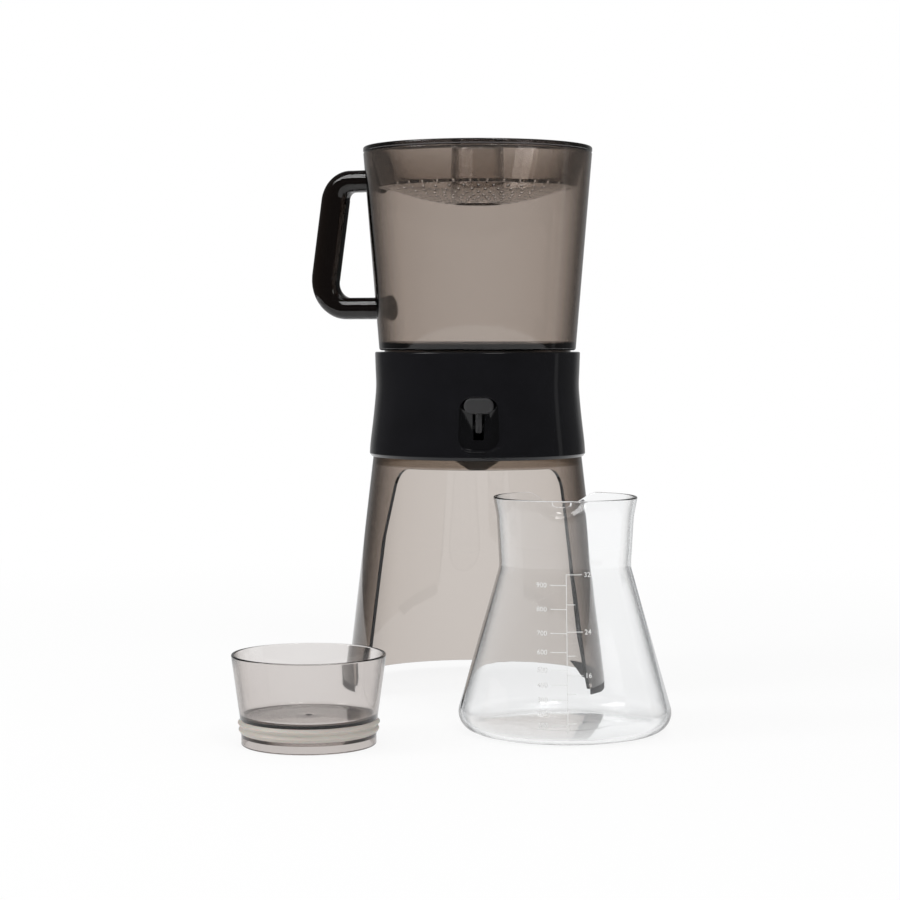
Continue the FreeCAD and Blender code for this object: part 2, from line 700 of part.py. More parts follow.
def lever_bezel():
    """Pocket in the collar's front, with a slot and two ears for the pivot pin."""
    block = extruded_front(pocket_corners(POCKET_LIP), -COLLAR_WIDEST_R - CUT_PAST, BEZEL_BLOCK_Y)
    block = block.common(collar_filled(POCKET_PROUD))
    pocket = extruded_front(pocket_corners(0), -COLLAR_WIDEST_R - CUT_PAST, POCKET_BACK_Y)
    plate = extruded_front([
        (-BEZEL_PLATE_HALF, BEZEL_PLATE_FOOT_Z, 3),
        (BEZEL_PLATE_HALF, BEZEL_PLATE_FOOT_Z, 3),
        (BEZEL_PLATE_HALF, BEZEL_PLATE_TOP_Z, 3),
        (-BEZEL_PLATE_HALF, BEZEL_PLATE_TOP_Z, 3),
    ], BEZEL_BLOCK_Y, BEZEL_BACK_Y)
    ear_end = PIVOT_Y + EAR_H / 2
    ear = extruded_side([
        (BEZEL_BACK_Y - 1, PIVOT_Z - EAR_H / 2),
        (ear_end, PIVOT_Z - EAR_H / 2, 3),
        (ear_end, PIVOT_Z + EAR_H / 2, 3),
        (BEZEL_BACK_Y - 1, PIVOT_Z + EAR_H / 2),
    ], EAR_IN + EAR_T)
    gap = box((-EAR_IN, EAR_IN), (BEZEL_BACK_Y, ear_end + 1), (PIVOT_Z - EAR_H, PIVOT_Z + EAR_H))
    slot = extruded_front([
        (-SLOT_HALF, SLOT_FOOT_Z, 0.8),
        (SLOT_HALF, SLOT_FOOT_Z, 0.8),
        (SLOT_HALF, SLOT_TOP_Z, 0.8),
        (-SLOT_HALF, SLOT_TOP_Z, 0.8),
    ], POCKET_BACK_Y - 1, BEZEL_BACK_Y + EAR_H)
    pin_start = FreeCAD.Vector(-BEZEL_PLATE_HALF, PIVOT_Y, PIVOT_Z)
    pin_hole = Part.makeCylinder(PIN_R, 2 * BEZEL_PLATE_HALF, pin_start, ACROSS)
    holes = []
    for side in (-1, 1):
        start = FreeCAD.Vector(side * BEZEL_SCREW_X, BEZEL_BLOCK_Y - 1, BEZEL_SCREW_Z)
        holes.append(Part.makeCylinder(SCREW_SHANK_R + SCREW_GAP, BEZEL_PLATE_T + 2, start, BACK))
    solid = block.fuse([plate, ear.cut(gap)])
    return solid.cut([pocket, slot, pin_hole] + holes)


def lever_pin():
    """Steel pivot pin held in the bezel's ears."""
    start = FreeCAD.Vector(-PIN_HALF, PIVOT_Y, PIVOT_Z)
    return Part.makeCylinder(PIN_R, 2 * PIN_HALF, start, ACROSS)


def tray_screws():
    """Screws that hold the tray to the collar's ledge."""
    seat = TRAY_LEDGE_Z - LEDGE_T
    return group([upright_screw(x, y, seat, TRAY_SCREW_L) for x, y in TRAY_SCREWS])


def funnel_screws():
    """Screws that hold the funnel's flange under the tray."""
    seat = TRAY_LEDGE_Z - FUNNEL_FLANGE_T
    return group([upright_screw(x, y, seat, FUNNEL_SCREW_L) for x, y in FUNNEL_SCREWS])


def cover_screws():
    """Screws through the cover and the skirt's rim into the collar."""
    length = COVER_T + SKIRT_RIM_T + COVER_SCREW_L - SCREW_REST
    return group([upright_screw(x, y, COVER_Z, length) for x, y in COVER_SCREWS])


def bezel_screws():
    """Two screws that hold the bezel's plate to the collar's bosses."""
    screws = []
    for side in (-1, 1):
        screw = upright_screw(0, 0, 0, BEZEL_PLATE_T + BEZEL_SCREW_L - SCREW_REST)
        screw.rotate(ORIGIN, ACROSS, 90)
        screw.translate(FreeCAD.Vector(side * BEZEL_SCREW_X, BEZEL_BACK_Y, BEZEL_SCREW_Z))
        screws.append(screw)
    return group(screws)


# ---------------------------------------------------------------- lever and lifter


def lever_arm():
    """Lever: stem in the pocket, hub on the pin, finger under the lifter."""
    stem = extruded_front([
        (-STEM_FOOT_HALF, STEM_FOOT_Z, 0.6),
        (STEM_FOOT_HALF, STEM_FOOT_Z, 0.6),
        (STEM_TOP_HALF, STEM_TOP_Z, 0.6),
        (-STEM_TOP_HALF, STEM_TOP_Z, 0.6),
    ], STEM_FRONT_Y, STEM_FRONT_Y + STEM_T)
    groove_half = STEM_GROOVE_W / 2
    groove = box(
        (-groove_half, groove_half),
        (STEM_FRONT_Y - 1, STEM_FRONT_Y + STEM_GROOVE_D),
        (STEM_FOOT_Z - 1, PAD_Z - PAD_H / 2 + 1),
    )
    web = extruded_side([
        (STEM_FRONT_Y + STEM_T - 1, WEB_FOOT_Z),
        (PIVOT_Y, PIVOT_Z - HUB_R + 0.4),
        (PIVOT_Y, PIVOT_Z + HUB_R - 0.4),
        (STEM_FRONT_Y + STEM_T - 1, WEB_TOP_Z),
    ], STEM_FOOT_HALF)
    hub_start = FreeCAD.Vector(-HUB_HALF, PIVOT_Y, PIVOT_Z)
    hub = Part.makeCylinder(HUB_R, 2 * HUB_HALF, hub_start, ACROSS)
    tip_y = PIVOT_Y + FINGER_L
    tip_z = PIVOT_Z + FINGER_RISE
    tip_start = FreeCAD.Vector(-FINGER_HALF, tip_y, tip_z)
    tip = Part.makeCylinder(FINGER_TIP_R, 2 * FINGER_HALF, tip_start, ACROSS)
    finger = extruded_side([
        (PIVOT_Y, PIVOT_Z - HUB_R + 0.6),
        (tip_y, tip_z - FINGER_TIP_R + 0.1),
        (tip_y, tip_z + FINGER_TIP_R - 0.1),
        (PIVOT_Y, PIVOT_Z + HUB_R - 0.6),
    ], FINGER_HALF)
    bore_start = FreeCAD.Vector(-2 * HUB_HALF, PIVOT_Y, PIVOT_Z)
    bore = Part.makeCylinder(PIN_R + RUN_GAP, 4 * HUB_HALF, bore_start, ACROSS)
    return stem.cut(groove).fuse([web, hub, finger, tip]).cut(bore)


def lever_pad():
    """Rounded thumb pad on the front of the stem."""
    round_r = PAD_H / 2 - 0.01
    pad = extruded_front([
        (-PAD_W / 2, PAD_Z - PAD_H / 2, round_r),
        (PAD_W / 2, PAD_Z - PAD_H / 2, round_r),
        (PAD_W / 2, PAD_Z + PAD_H / 2, round_r),
        (-PAD_W / 2, PAD_Z + PAD_H / 2, round_r),
    ], STEM_FRONT_Y - PAD_T, STEM_FRONT_Y)
    front = [edge for edge in pad.Edges if abs(edge.CenterOfMass.y - (STEM_FRONT_Y - PAD_T)) < 1e-3]
    return pad.makeFillet(PAD_EDGE_R, front)


def valve_lifter():
    """Push rod in the funnel's guide, with an arm that the lever's finger raises."""
    shaft = turned([
        (0, LIFTER_FOOT_Z),
        (LIFTER_R, LIFTER_FOOT_Z, 0.6),
        (LIFTER_R, LIFTER_TOP_Z, 0.6),
        (0, LIFTER_TOP_Z),
    ])
    arm_end = PIVOT_Y + FINGER_L - LIFTER_ARM_OVER
    arm = box(
        (-LIFTER_ARM_HALF, LIFTER_ARM_HALF),
        (arm_end, 0),
        (LIFTER_ARM_Z, LIFTER_ARM_Z + LIFTER_ARM_T),
    )
    return shaft.fuse(arm)


# ---------------------------------------------------------------- container


def container_wall():
    """Tapered smoked wall of the container, up from its floor."""
    return turned([
        (RIM_R, RIM_Z, 0.8),
        (RIM_R - CONTAINER_WALL, RIM_Z, 0.8),
        (container_radius(CONTAINER_FLOOR_Z) - CONTAINER_WALL, CONTAINER_FLOOR_Z),
        (container_radius(CONTAINER_FLOOR_Z), CONTAINER_FLOOR_Z),
    ])


def container_base():
    """Floor of the container, with its filter well, drain tube and foot ring."""
    shelf_r = WELL_R - WELL_SHELF_W
    well_r = WELL_R + WELL_WALL
    tube_in = DRAIN_TUBE_R - DRAIN_TUBE_WALL
    return turned([
        (container_radius(CONTAINER_FLOOR_Z), CONTAINER_FLOOR_Z),
        (WELL_R, CONTAINER_FLOOR_Z, 0.8),
        (WELL_R, WELL_SHELF_Z),
        (shelf_r, WELL_SHELF_Z),
        (shelf_r, WELL_FLOOR_Z, 1.5),
        (DRAIN_HOLE_R, WELL_FLOOR_Z),
        (DRAIN_HOLE_R, WELL_FLOOR_FOOT),
        (tube_in, WELL_FLOOR_FOOT),
        (tube_in, DRAIN_TUBE_FOOT_Z),
        (DRAIN_TUBE_R, DRAIN_TUBE_FOOT_Z),
        (DRAIN_TUBE_R, WELL_FLOOR_FOOT),
        (shelf_r + WELL_WALL, WELL_FLOOR_FOOT, 1.5),
        (shelf_r + WELL_WALL, WELL_SHELF_Z - 3.5),
        (well_r, WELL_SHELF_Z - 1.5),
        (well_r, CONTAINER_FLOOR_FOOT),
        (FOOT_RING_R - FOOT_RING_WALL, CONTAINER_FLOOR_FOOT),
        (FOOT_RING_R - FOOT_RING_WALL, TRAY_FLOOR_TOP),
        (FOOT_RING_R, TRAY_FLOOR_TOP),
        (FOOT_RING_R, CONTAINER_FLOOR_FOOT),
        (container_radius(CONTAINER_FLOOR_FOOT), CONTAINER_FLOOR_FOOT, 1.8),
    ])


def handle_section(centre, ahead, thickness):
    """Rounded section of the handle bar, square to the way it runs."""
    across = ahead.cross(BACK).normalize()
    half_t = thickness / 2
    half_w = HANDLE_W / 2

    def place(a, b):
        return centre + across * a + BACK * b

    corners = [
        (-half_t, -half_w, HANDLE_EDGE_R),
        (half_t, -half_w, HANDLE_EDGE_R),
        (half_t, half_w, HANDLE_EDGE_R),
        (-half_t, half_w, HANDLE_EDGE_R),
    ]
    return Part.Wire(outline_edges(corners, place))


def bend_stations(corner, before, after, radius, steps):
    """Points and directions along the round bend at one corner of the handle."""
    back = (before - corner).normalize()
    ahead = (after - corner).normalize()
    half = back.getAngle(ahead) / 2
    middle = corner + (back + ahead).normalize() * (radius / math.sin(half))
    start = corner + back * (radius / math.tan(half)) - middle
    turn = math.pi - 2 * half
    stations = []
    for step in range(steps + 1):
        angle = turn * step / steps
        arm = FreeCAD.Rotation(BACK, math.degrees(angle)).multVec(start)
        way = FreeCAD.Rotation(BACK, math.degrees(angle)).multVec(back * -1)
        stations.append((middle + arm, way))
    return stations


def container_handle():
    """Solid bar handle with a round boss at each end, seated on the container."""
    wall_top = container_radius(HANDLE_TOP_Z)
    wall_foot = container_radius(HANDLE_FOOT_Z)
    start = FreeCAD.Vector(wall_top - CUT_PAST, 0, HANDLE_TOP_Z)
    upper = FreeCAD.Vector(HANDLE_TOP_REACH, 0, HANDLE_TOP_Z)
    lower = FreeCAD.Vector(HANDLE_FOOT_REACH, 0, HANDLE_FOOT_Z)
    end = FreeCAD.Vector(wall_foot - CUT_PAST, 0, HANDLE_FOOT_Z)
    upper_bend = bend_stations(upper, start, lower, HANDLE_TOP_BEND, HANDLE_BEND_STEPS)
    lower_bend = bend_stations(lower, upper, end, HANDLE_FOOT_BEND, HANDLE_BEND_STEPS)
    upper_sections = []
    for i, (centre, way) in enumerate(upper_bend):
        thickness = HANDLE_ARM_T + (HANDLE_LEG_T - HANDLE_ARM_T) * i / HANDLE_BEND_STEPS
        upper_sections.append(handle_section(centre, way, thickness))
    lower_sections = []
    for i, (centre, way) in enumerate(lower_bend):
        thickness = HANDLE_LEG_T + (HANDLE_ARM_T - HANDLE_LEG_T) * i / HANDLE_BEND_STEPS
        lower_sections.append(handle_section(centre, way, thickness))
    upper_end = handle_section(start, ACROSS, HANDLE_ARM_T)
    lower_end = handle_section(end, ACROSS * -1, HANDLE_ARM_T)
    bar = Part.makeLoft(upper_sections, True, False).fuse([
        Part.makeLoft([upper_end, upper_sections[0]], True, True),
        Part.makeLoft([upper_sections[-1], lower_sections[0]], True, True),
        Part.makeLoft(lower_sections, True, False),
        Part.makeLoft([lower_sections[-1], lower_end], True, True),
    ])
    roots = []
    for wall, height in ((wall_top, HANDLE_TOP_Z), (wall_foot, HANDLE_FOOT_Z)):
        base = FreeCAD.Vector(wall - CUT_PAST, 0, height)
        boss = Part.makeCylinder(HANDLE_ROOT_R, HANDLE_ROOT_L + CUT_PAST, base, ACROSS)
        roots.append(boss)
    container = Part.makeCone(
        container_radius(CONTAINER_FLOOR_FOOT),
        container_radius(RIM_Z + CUT_PAST),
        RIM_Z + CUT_PAST - CONTAINER_FLOOR_FOOT,
        FreeCAD.Vector(0, 0, CONTAINER_FLOOR_FOOT),
        UP,
    )
    handle = bar.fuse(roots).cut(container)
    handle.rotate(ORIGIN, UP, 180 - HANDLE_TURN)
    return handle


def valve_guide():
    """Small spider under the well's floor that keeps the valve stem upright."""
    outer = DRAIN_TUBE_R - DRAIN_TUBE_WALL - RUN_GAP
    rim = ring(outer, outer - GUIDE_RING_W, GUIDE_FOOT_Z, WELL_FLOOR_FOOT)
    core = rod(GUIDE_CORE_R, GUIDE_FOOT_Z, WELL_FLOOR_FOOT)
    arm_end = outer - GUIDE_RING_W / 2
    arms = spokes((90, 210, 330), GUIDE_ARM_W, GUIDE_CORE_R - 0.5, arm_end, GUIDE_FOOT_Z, WELL_FLOOR_FOOT)
    return core.fuse([rim] + arms).cut(rod(STEM_R + RUN_GAP, GUIDE_FOOT_Z - 1, WELL_FLOOR_FOOT + 1))


def valve_plunger():
    """Valve stem with a flat head above the seal and a foot that holds the clip."""
    head_foot = WELL_FLOOR_Z + SEAL_T
    return turned([
        (0, PLUNGER_FOOT_Z),
        (PLUNGER_FOOT_R, PLUNGER_FOOT_Z, 0.3),
        (PLUNGER_FOOT_R, CLIP_Z),
        (STEM_R, CLIP_Z),
        (STEM_R, head_foot),
        (HEAD_R, head_foot),
        (HEAD_R, head_foot + HEAD_T, 0.5),
        (0, head_foot + HEAD_T),
    ])


def valve_clip():
    """Washer that the return spring pushes on."""
    return ring(CLIP_R, STEM_R + RUN_GAP, CLIP_Z, CLIP_Z + CLIP_T)


def valve_seal():
    """Silicone disc that closes the drain hole."""
    return turned([
        (STEM_R + RUN_GAP, WELL_FLOOR_Z),
        (SEAL_R, WELL_FLOOR_Z),
        (SEAL_R, WELL_FLOOR_Z + SEAL_T, 0.8),
        (STEM_R + RUN_GAP, WELL_FLOOR_Z + SEAL_T),
    ])


def spring_section(turns, foot, pitch):
    """Outline of the spring's wire after a number of turns."""
    angle = 2 * math.pi * turns
    out = FreeCAD.Vector(math.cos(angle), math.sin(angle), 0)
    ahead = UP.cross(out) * SPRING_R + UP * (pitch / (2 * math.pi))
    across = ahead.normalize().cross(out)
    centre = out * SPRING_R + UP * (foot + pitch * turns)
    points = []
    for side in range(SPRING_SIDES + 1):
        way = 2 * math.pi * side / SPRING_SIDES
        arm = out * math.cos(way) + across * math.sin(way)
        points.append(centre + arm * SPRING_WIRE_R)
    return Part.makePolygon(points)


def valve_spring():
    """Return spring round the stem, between the clip and the guide."""
    foot = CLIP_Z + CLIP_T + SPRING_WIRE_R
    pitch = (GUIDE_FOOT_Z - SPRING_WIRE_R - foot) / SPRING_TURNS
    steps = round(SPRING_TURNS * SPRING_STEPS)
    sections = [spring_section(step / SPRING_STEPS, foot, pitch) for step in range(steps + 1)]
    return Part.makeLoft(sections, True, True)


# ---------------------------------------------------------------- filter


def filter_gasket():
    """Silicone ring that seals the filter in the well and grips its frame."""
    outer = WELL_R - FIT_GAP
    inner = outer - GASKET_W
    groove = inner + GASKET_GROOVE_D
    groove_top = FRAME_Z + FRAME_T + MESH_T
    top = WELL_SHELF_Z + GASKET_H
    return turned([
        (inner, WELL_SHELF_Z, 0.6),
        (outer, WELL_SHELF_Z, 0.6),
        (outer, top, 0.6),
        (inner, top, 0.6),
        (inner, groove_top),
        (groove, groove_top),
        (groove, FRAME_Z),
        (inner, FRAME_Z),
    ])


def filter_frame():
    """Steel wheel that carries the mesh."""
    outer = FRAME_R - RUN_GAP
    top = FRAME_Z + FRAME_T
    rim = ring(outer, outer - FRAME_RIM_W, FRAME_Z, top)
    middle = ring(FRAME_RING_R, FRAME_RING_R - FRAME_RING_W, FRAME_Z, top)
    hub = rod(FRAME_HUB_R, FRAME_Z, top)
    angles = [360 / FRAME_SPOKES * i for i in range(FRAME_SPOKES)]
    arms = spokes(angles, FRAME_SPOKE_W, FRAME_HUB_R - 1, outer - 1, FRAME_Z, top)
    return rim.fuse([middle, hub] + arms)


def filter_mesh():
    """Fine steel mesh disc on the frame."""
    low = FRAME_Z + FRAME_T
    return rod(FRAME_R - RUN_GAP, low, low + MESH_T)


# ---------------------------------------------------------------- lid


def lid_rim():
    """Flange and bowl wall of the rain lid."""
    flange_foot = LID_TOP_Z - LID_FLANGE_T
    seat_out = RIM_R - 1.0
    bowl_in = LID_BOWL_R - LID_WALL
    foot_in = LID_BOWL_FOOT_R - LID_WALL
    return turned([
        (LID_R, LID_TOP_Z, 1.2),
        (LID_R, flange_foot, 0.8),
        (seat_out, flange_foot),
        (seat_out, RIM_Z),
        (LID_BOWL_R, RIM_Z),
        (LID_BOWL_FOOT_R, LID_BOWL_FOOT_Z, 1.0),
        (PLATE_R - PLATE_RIM_W + FIT_GAP, LID_BOWL_FOOT_Z),
        (PLATE_R - PLATE_RIM_W + FIT_GAP, LEDGE_SEAT_Z),
        (foot_in, LEDGE_SEAT_Z),
        (foot_in, PLATE_RIM_Z),
        (bowl_in, RIM_Z - 2, 3.0),
        (bowl_in + 2.0, LID_TOP_Z, 1.0),
    ])


def dish_sphere(drop):
    """Full ball whose lower cap is the dish, its surface lowered by drop."""
    edge_r = PLATE_R - PLATE_RIM_W
    depth = PLATE_RIM_Z - PLATE_LOW_Z
    radius = (edge_r ** 2 + depth ** 2) / (2 * depth)
    centre = FreeCAD.Vector(0, 0, PLATE_LOW_Z + radius)
    return Part.makeSphere(radius + drop, centre)


def lid_rain_plate():
    """Dished floor of the lid with rings of small drip holes."""
    edge_r = PLATE_R - PLATE_RIM_W
    below = PLATE_LOW_Z - 2 * PLATE_T
    slab = rod(edge_r + 0.01, below, PLATE_RIM_Z)
    dish = slab.common(dish_sphere(PLATE_T)).cut(dish_sphere(0))
    rim = ring(PLATE_R, edge_r - 0.4, LEDGE_SEAT_Z, PLATE_RIM_Z)
    seat = rod(KNOB_R + 1.2, PLATE_LOW_Z - PLATE_T + 0.4, KNOB_SEAT_Z)
    plate = dish.fuse([rim.cut(dish_sphere(0)), seat])
    holes = [rod(KNOB_R - KNOB_WALL, below, KNOB_SEAT_Z + 1)]
    for ring_index in range(HOLE_RINGS):
        radius = HOLE_FIRST_R + HOLE_PITCH * ring_index
        step = 360 / HOLES_PER_RING
        angles = [step * (i + 0.5 * (ring_index % 2)) for i in range(HOLES_PER_RING)]
        for x, y in around(radius, angles):
            holes.append(rod(HOLE_R, below, PLATE_RIM_Z + 1, x, y))
    return plate.cut(holes)


def lid_knob():
    """Hollow grip in the middle of the lid."""
    top_r = KNOB_R - KNOB_DRAFT
    return turned([
        (KNOB_R, KNOB_SEAT_Z),
        (top_r, KNOB_TOP_Z, KNOB_ROUND),
        (0, KNOB_TOP_Z),
        (0, KNOB_TOP_Z - KNOB_WALL),
        (top_r - KNOB_WALL, KNOB_TOP_Z - KNOB_WALL, KNOB_ROUND - KNOB_WALL),
        (KNOB_R - KNOB_WALL, KNOB_SEAT_Z),
    ])


# ---------------------------------------------------------------- carafe


def carafe_glass():
    """Conical glass carafe with a flared neck and a pouring dip at the back."""
    cone = (CARAFE_BOTTOM_R - CARAFE_NECK_R) / CARAFE_NECK_Z
    inset = CARAFE_WALL * math.sqrt(1 + cone ** 2)
    inner_bottom = CARAFE_BOTTOM_R - cone * CARAFE_BASE_T - inset
    glass = turned([
        (0, 0),
        (CARAFE_BOTTOM_R, 0, CARAFE_CORNER_R),
        (CARAFE_NECK_R, CARAFE_NECK_Z, CARAFE_NECK_BEND),
        (CARAFE_FLARE_R, CARAFE_FLARE_Z, CARAFE_FLARE_BEND),
        (CARAFE_RIM_R, CARAFE_H, 0.8),
        (CARAFE_RIM_R - CARAFE_WALL, CARAFE_H, 0.8),
        (CARAFE_FLARE_R - CARAFE_WALL, CARAFE_FLARE_Z, CARAFE_FLARE_BEND),
        (CARAFE_NECK_R - inset, CARAFE_NECK_Z, CARAFE_NECK_BEND),
        (inner_bottom, CARAFE_BASE_T, CARAFE_CORNER_R - CARAFE_WALL),
        (0, CARAFE_BASE_T),
    ])
    wide = LIP_HALF + LIP_SHOULDER
    dip = Part.BSplineCurve()
    dip.interpolate([
        FreeCAD.Vector(-wide, 0, CARAFE_H + 0.3),
        FreeCAD.Vector(-LIP_HALF, 0, CARAFE_H - LIP_DIP * 0.42),
        FreeCAD.Vector(0, 0, CARAFE_H - LIP_DIP),
        FreeCAD.Vector(LIP_HALF, 0, CARAFE_H - LIP_DIP * 0.42),
        FreeCAD.Vector(wide, 0, CARAFE_H + 0.3),
    ])
    left = FreeCAD.Vector(-wide, 0, CARAFE_H + 0.3)
    right = FreeCAD.Vector(wide, 0, CARAFE_H + 0.3)
    above = FreeCAD.Vector(0, 0, 10)
    edges = [dip.toShape()]
    edges.append(Part.makeLine(right, right + above))
    edges.append(Part.makeLine(right + above, left + above))
    edges.append(Part.makeLine(left + above, left))
    tool = Part.Face(Part.Wire(edges)).extrude(BACK * (CARAFE_RIM_R + 10))
    glass = glass.cut(tool)
    glass.translate(FreeCAD.Vector(CARAFE_X, CARAFE_Y, 0))
    return glass


def stopper_cup():
    """Cup that closes the carafe and measures coffee, on a foot ring."""
    inner_foot = CUP_FOOT_R - CUP_WALL
    ring_in = CUP_RING_R - CUP_RING_WALL
    cup = turned([
        (CUP_RIM_R, CUP_H, 0.9),
        (CUP_RIM_R - CUP_WALL, CUP_H, 0.9),
        (inner_foot, CUP_FLOOR_Z, 2.5),
        (0, CUP_FLOOR_Z),
        (0, CUP_FLOOR_Z - CUP_FLOOR_T),
        (GROOVE_R - CUP_RING_WALL, CUP_FLOOR_Z - CUP_FLOOR_T),
        (GROOVE_R - CUP_RING_WALL, GROOVE_FOOT_Z - 0.5),
        (ring_in, GROOVE_FOOT_Z - 2.5),
        (ring_in, 0, 0.8),
        (CUP_RING_R, 0, 0.8),
        (CUP_RING_R, GROOVE_FOOT_Z),
        (GROOVE_R, GROOVE_FOOT_Z),
        (GROOVE_R, GROOVE_TOP_Z),
        (CUP_FOOT_R, GROOVE_TOP_Z, 0.4),
    ])
    cup.translate(FreeCAD.Vector(CUP_X, CUP_Y, 0))
    return cup


def stopper_seal():
    """Silicone ring with two ribs, in the groove of the cup's foot."""
    inner = GROOVE_R + RUN_GAP
    third = (GROOVE_TOP_Z - GROOVE_FOOT_Z) / 4
    seal = turned([
        (inner, GROOVE_FOOT_Z),
        (SEAL_BODY_R, GROOVE_FOOT_Z, 0.3),
        (SEAL_RIB_R - 0.6, GROOVE_FOOT_Z + third, 0.5),
        (SEAL_BODY_R, GROOVE_FOOT_Z + 2 * third, 0.5),
        (SEAL_RIB_R, GROOVE_FOOT_Z + 3 * third, 0.5),
        (SEAL_BODY_R, GROOVE_TOP_Z, 0.3),
        (inner, GROOVE_TOP_Z),
    ])
    seal.translate(FreeCAD.Vector(CUP_X, CUP_Y, 0))
    return seal


# ---------------------------------------------------------------- assembly

PIECES = [
    stand_skirt,
    stand_feet,
    collar_shell,
    seat_tray,
    drain_funnel,
    under_cover,
    lever_bezel,
    lever_pin,
    tray_screws,
    funnel_screws,
    cover_screws,
    bezel_screws,
    lever_arm,
    lever_pad,
    valve_lifter,
    container_wall,
    container_base,
    container_handle,
    valve_guide,
    valve_plunger,
    valve_clip,
    valve_seal,
    valve_spring,
    filter_gasket,
    filter_frame,
    filter_mesh,
    lid_rim,
    lid_rain_plate,
    lid_knob,
    carafe_glass,
    stopper_cup,
    stopper_seal,
]
ON_THE_TABLE = [carafe_glass, stopper_cup, stopper_seal]


def carafe_widest():
    """Largest radius of the carafe, at its rounded bottom corner."""
    cone = math.atan((CARAFE_BOTTOM_R - CARAFE_NECK_R) / CARAFE_NECK_Z)
    inward = CARAFE_CORNER_R / math.tan(math.pi / 4 - cone / 2)
    return CARAFE_BOTTOM_R - inward + CARAFE_CORNER_R


def footprint_middle():
    """Middle of the space that the tower, carafe and cup take on the table."""
    left = min(CUP_X - CUP_RIM_R, -FOOT_R)
    right = max(CARAFE_X + carafe_widest(), FOOT_R)
    front = min(CUP_Y - CUP_RIM_R, CARAFE_Y - carafe_widest())
    return FreeCAD.Vector((left + right) / 2, (front + FOOT_R) / 2, 0)


def main():
    os.makedirs("parts", exist_ok=True)
    shift = footprint_middle() * -1
    print("tower axis at", round(shift.x, 4), round(shift.y, 4))
    for piece in PIECES:
        shape = piece()
        shape.translate(shift)
        if piece not in ON_THE_TABLE:
            shape.translate(UP * FEET_H)
        shape.exportStep("parts/" + piece.__name__ + ".step")


main()
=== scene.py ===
"""Cold brew coffee maker: its shells, glass and finishes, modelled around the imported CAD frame."""
import json
import math

import bmesh
import bpy
from bpy.props import FloatProperty, FloatVectorProperty, IntProperty, PointerProperty
from bpy.types import Operator, Panel, PropertyGroup
from mathutils import Matrix, Vector

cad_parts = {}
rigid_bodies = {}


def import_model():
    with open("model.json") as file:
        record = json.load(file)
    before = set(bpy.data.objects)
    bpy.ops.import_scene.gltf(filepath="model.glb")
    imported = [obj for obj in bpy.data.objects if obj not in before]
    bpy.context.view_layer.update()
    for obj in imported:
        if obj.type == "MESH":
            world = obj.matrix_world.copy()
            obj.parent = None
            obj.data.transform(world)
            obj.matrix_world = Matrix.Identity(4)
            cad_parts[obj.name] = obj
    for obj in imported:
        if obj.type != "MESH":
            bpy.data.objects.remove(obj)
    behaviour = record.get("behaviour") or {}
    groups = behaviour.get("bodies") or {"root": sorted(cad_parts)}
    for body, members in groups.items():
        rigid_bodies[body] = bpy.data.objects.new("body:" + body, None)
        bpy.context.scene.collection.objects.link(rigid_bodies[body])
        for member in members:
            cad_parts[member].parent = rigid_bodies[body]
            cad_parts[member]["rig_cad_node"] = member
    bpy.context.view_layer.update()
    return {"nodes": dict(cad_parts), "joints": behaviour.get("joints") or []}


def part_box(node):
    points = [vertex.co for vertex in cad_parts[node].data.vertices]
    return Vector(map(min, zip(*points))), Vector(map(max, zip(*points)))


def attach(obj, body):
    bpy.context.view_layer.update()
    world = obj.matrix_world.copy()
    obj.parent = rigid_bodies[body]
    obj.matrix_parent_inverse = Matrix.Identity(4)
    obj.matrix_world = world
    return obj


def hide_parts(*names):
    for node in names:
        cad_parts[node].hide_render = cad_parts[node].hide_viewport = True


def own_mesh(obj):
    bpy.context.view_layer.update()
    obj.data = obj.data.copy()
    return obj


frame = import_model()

bl_info = {
    "name": "Cold brew coffee maker",
    "version": (1, 0, 0),
    "blender": (4, 5, 0),
    "location": "3D View > Sidebar > Coffee maker",
    "description": "Models and finishes a cold brew coffee maker around its CAD frame",
    "category": "Object",
}


def middle_of(node, foot="floor"):
    """Where a round CAD node's axis meets the table, or the height of another node's foot."""
    low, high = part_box(node)
    height = 0 if foot == "floor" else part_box(foot)[0].z
    return Vector(((low.x + high.x) / 2, (low.y + high.y) / 2, height))


TOWER = middle_of("container_wall", "stand_skirt")
CARAFE = middle_of("carafe_glass")
STOPPER = middle_of("stopper_seal")


# ---------- sizes and colours; heights on the tower are taken from the skirt's foot


def length(name, description, metres):
    """A size that a user can change."""
    return FloatProperty(name=name, description=description, default=metres, unit="LENGTH", precision=5)


def colour(name, description, red, green, blue):
    """A colour that a user can change."""
    return FloatVectorProperty(
        name=name, description=description, subtype="COLOR", size=3, min=0, max=1, default=(red, green, blue)
    )


def angle(name, description, degrees):
    """An angle that a user can change."""
    return FloatProperty(name=name, description=description, default=math.radians(degrees), subtype="ANGLE")


def number(name, description, value):
    """A plain number that a user can change."""
    return FloatProperty(name=name, description=description, default=value, precision=4)


class StandSizes(PropertyGroup):
    foot_radius: length("Foot radius", "Outer radius of the skirt at its foot", 0.0932)
    taper: number("Skirt taper", "Radius lost per unit of height", 0.1166)
    wall: length("Skirt wall", "Thickness of the smoked skirt", 0.0026)
    top: length("Skirt top", "Height of the skirt's rim", 0.166)
    arch_foot_half: length("Arch half width at foot", "Half the opening at the skirt's foot", 0.0795)
    arch_top_half: length("Arch half width at top", "Half the opening where its sides meet its top", 0.0567)
    arch_top: length("Arch top", "Height of the opening", 0.1542)
    arch_corner: length("Arch corner", "Radius of the opening's upper corners", 0.018)
    collar_edge: length("Collar edge", "Rounding of the collar's top edge", 0.0009)
    segments: IntProperty(name="Segments", description="Steps round each large shell", default=160)


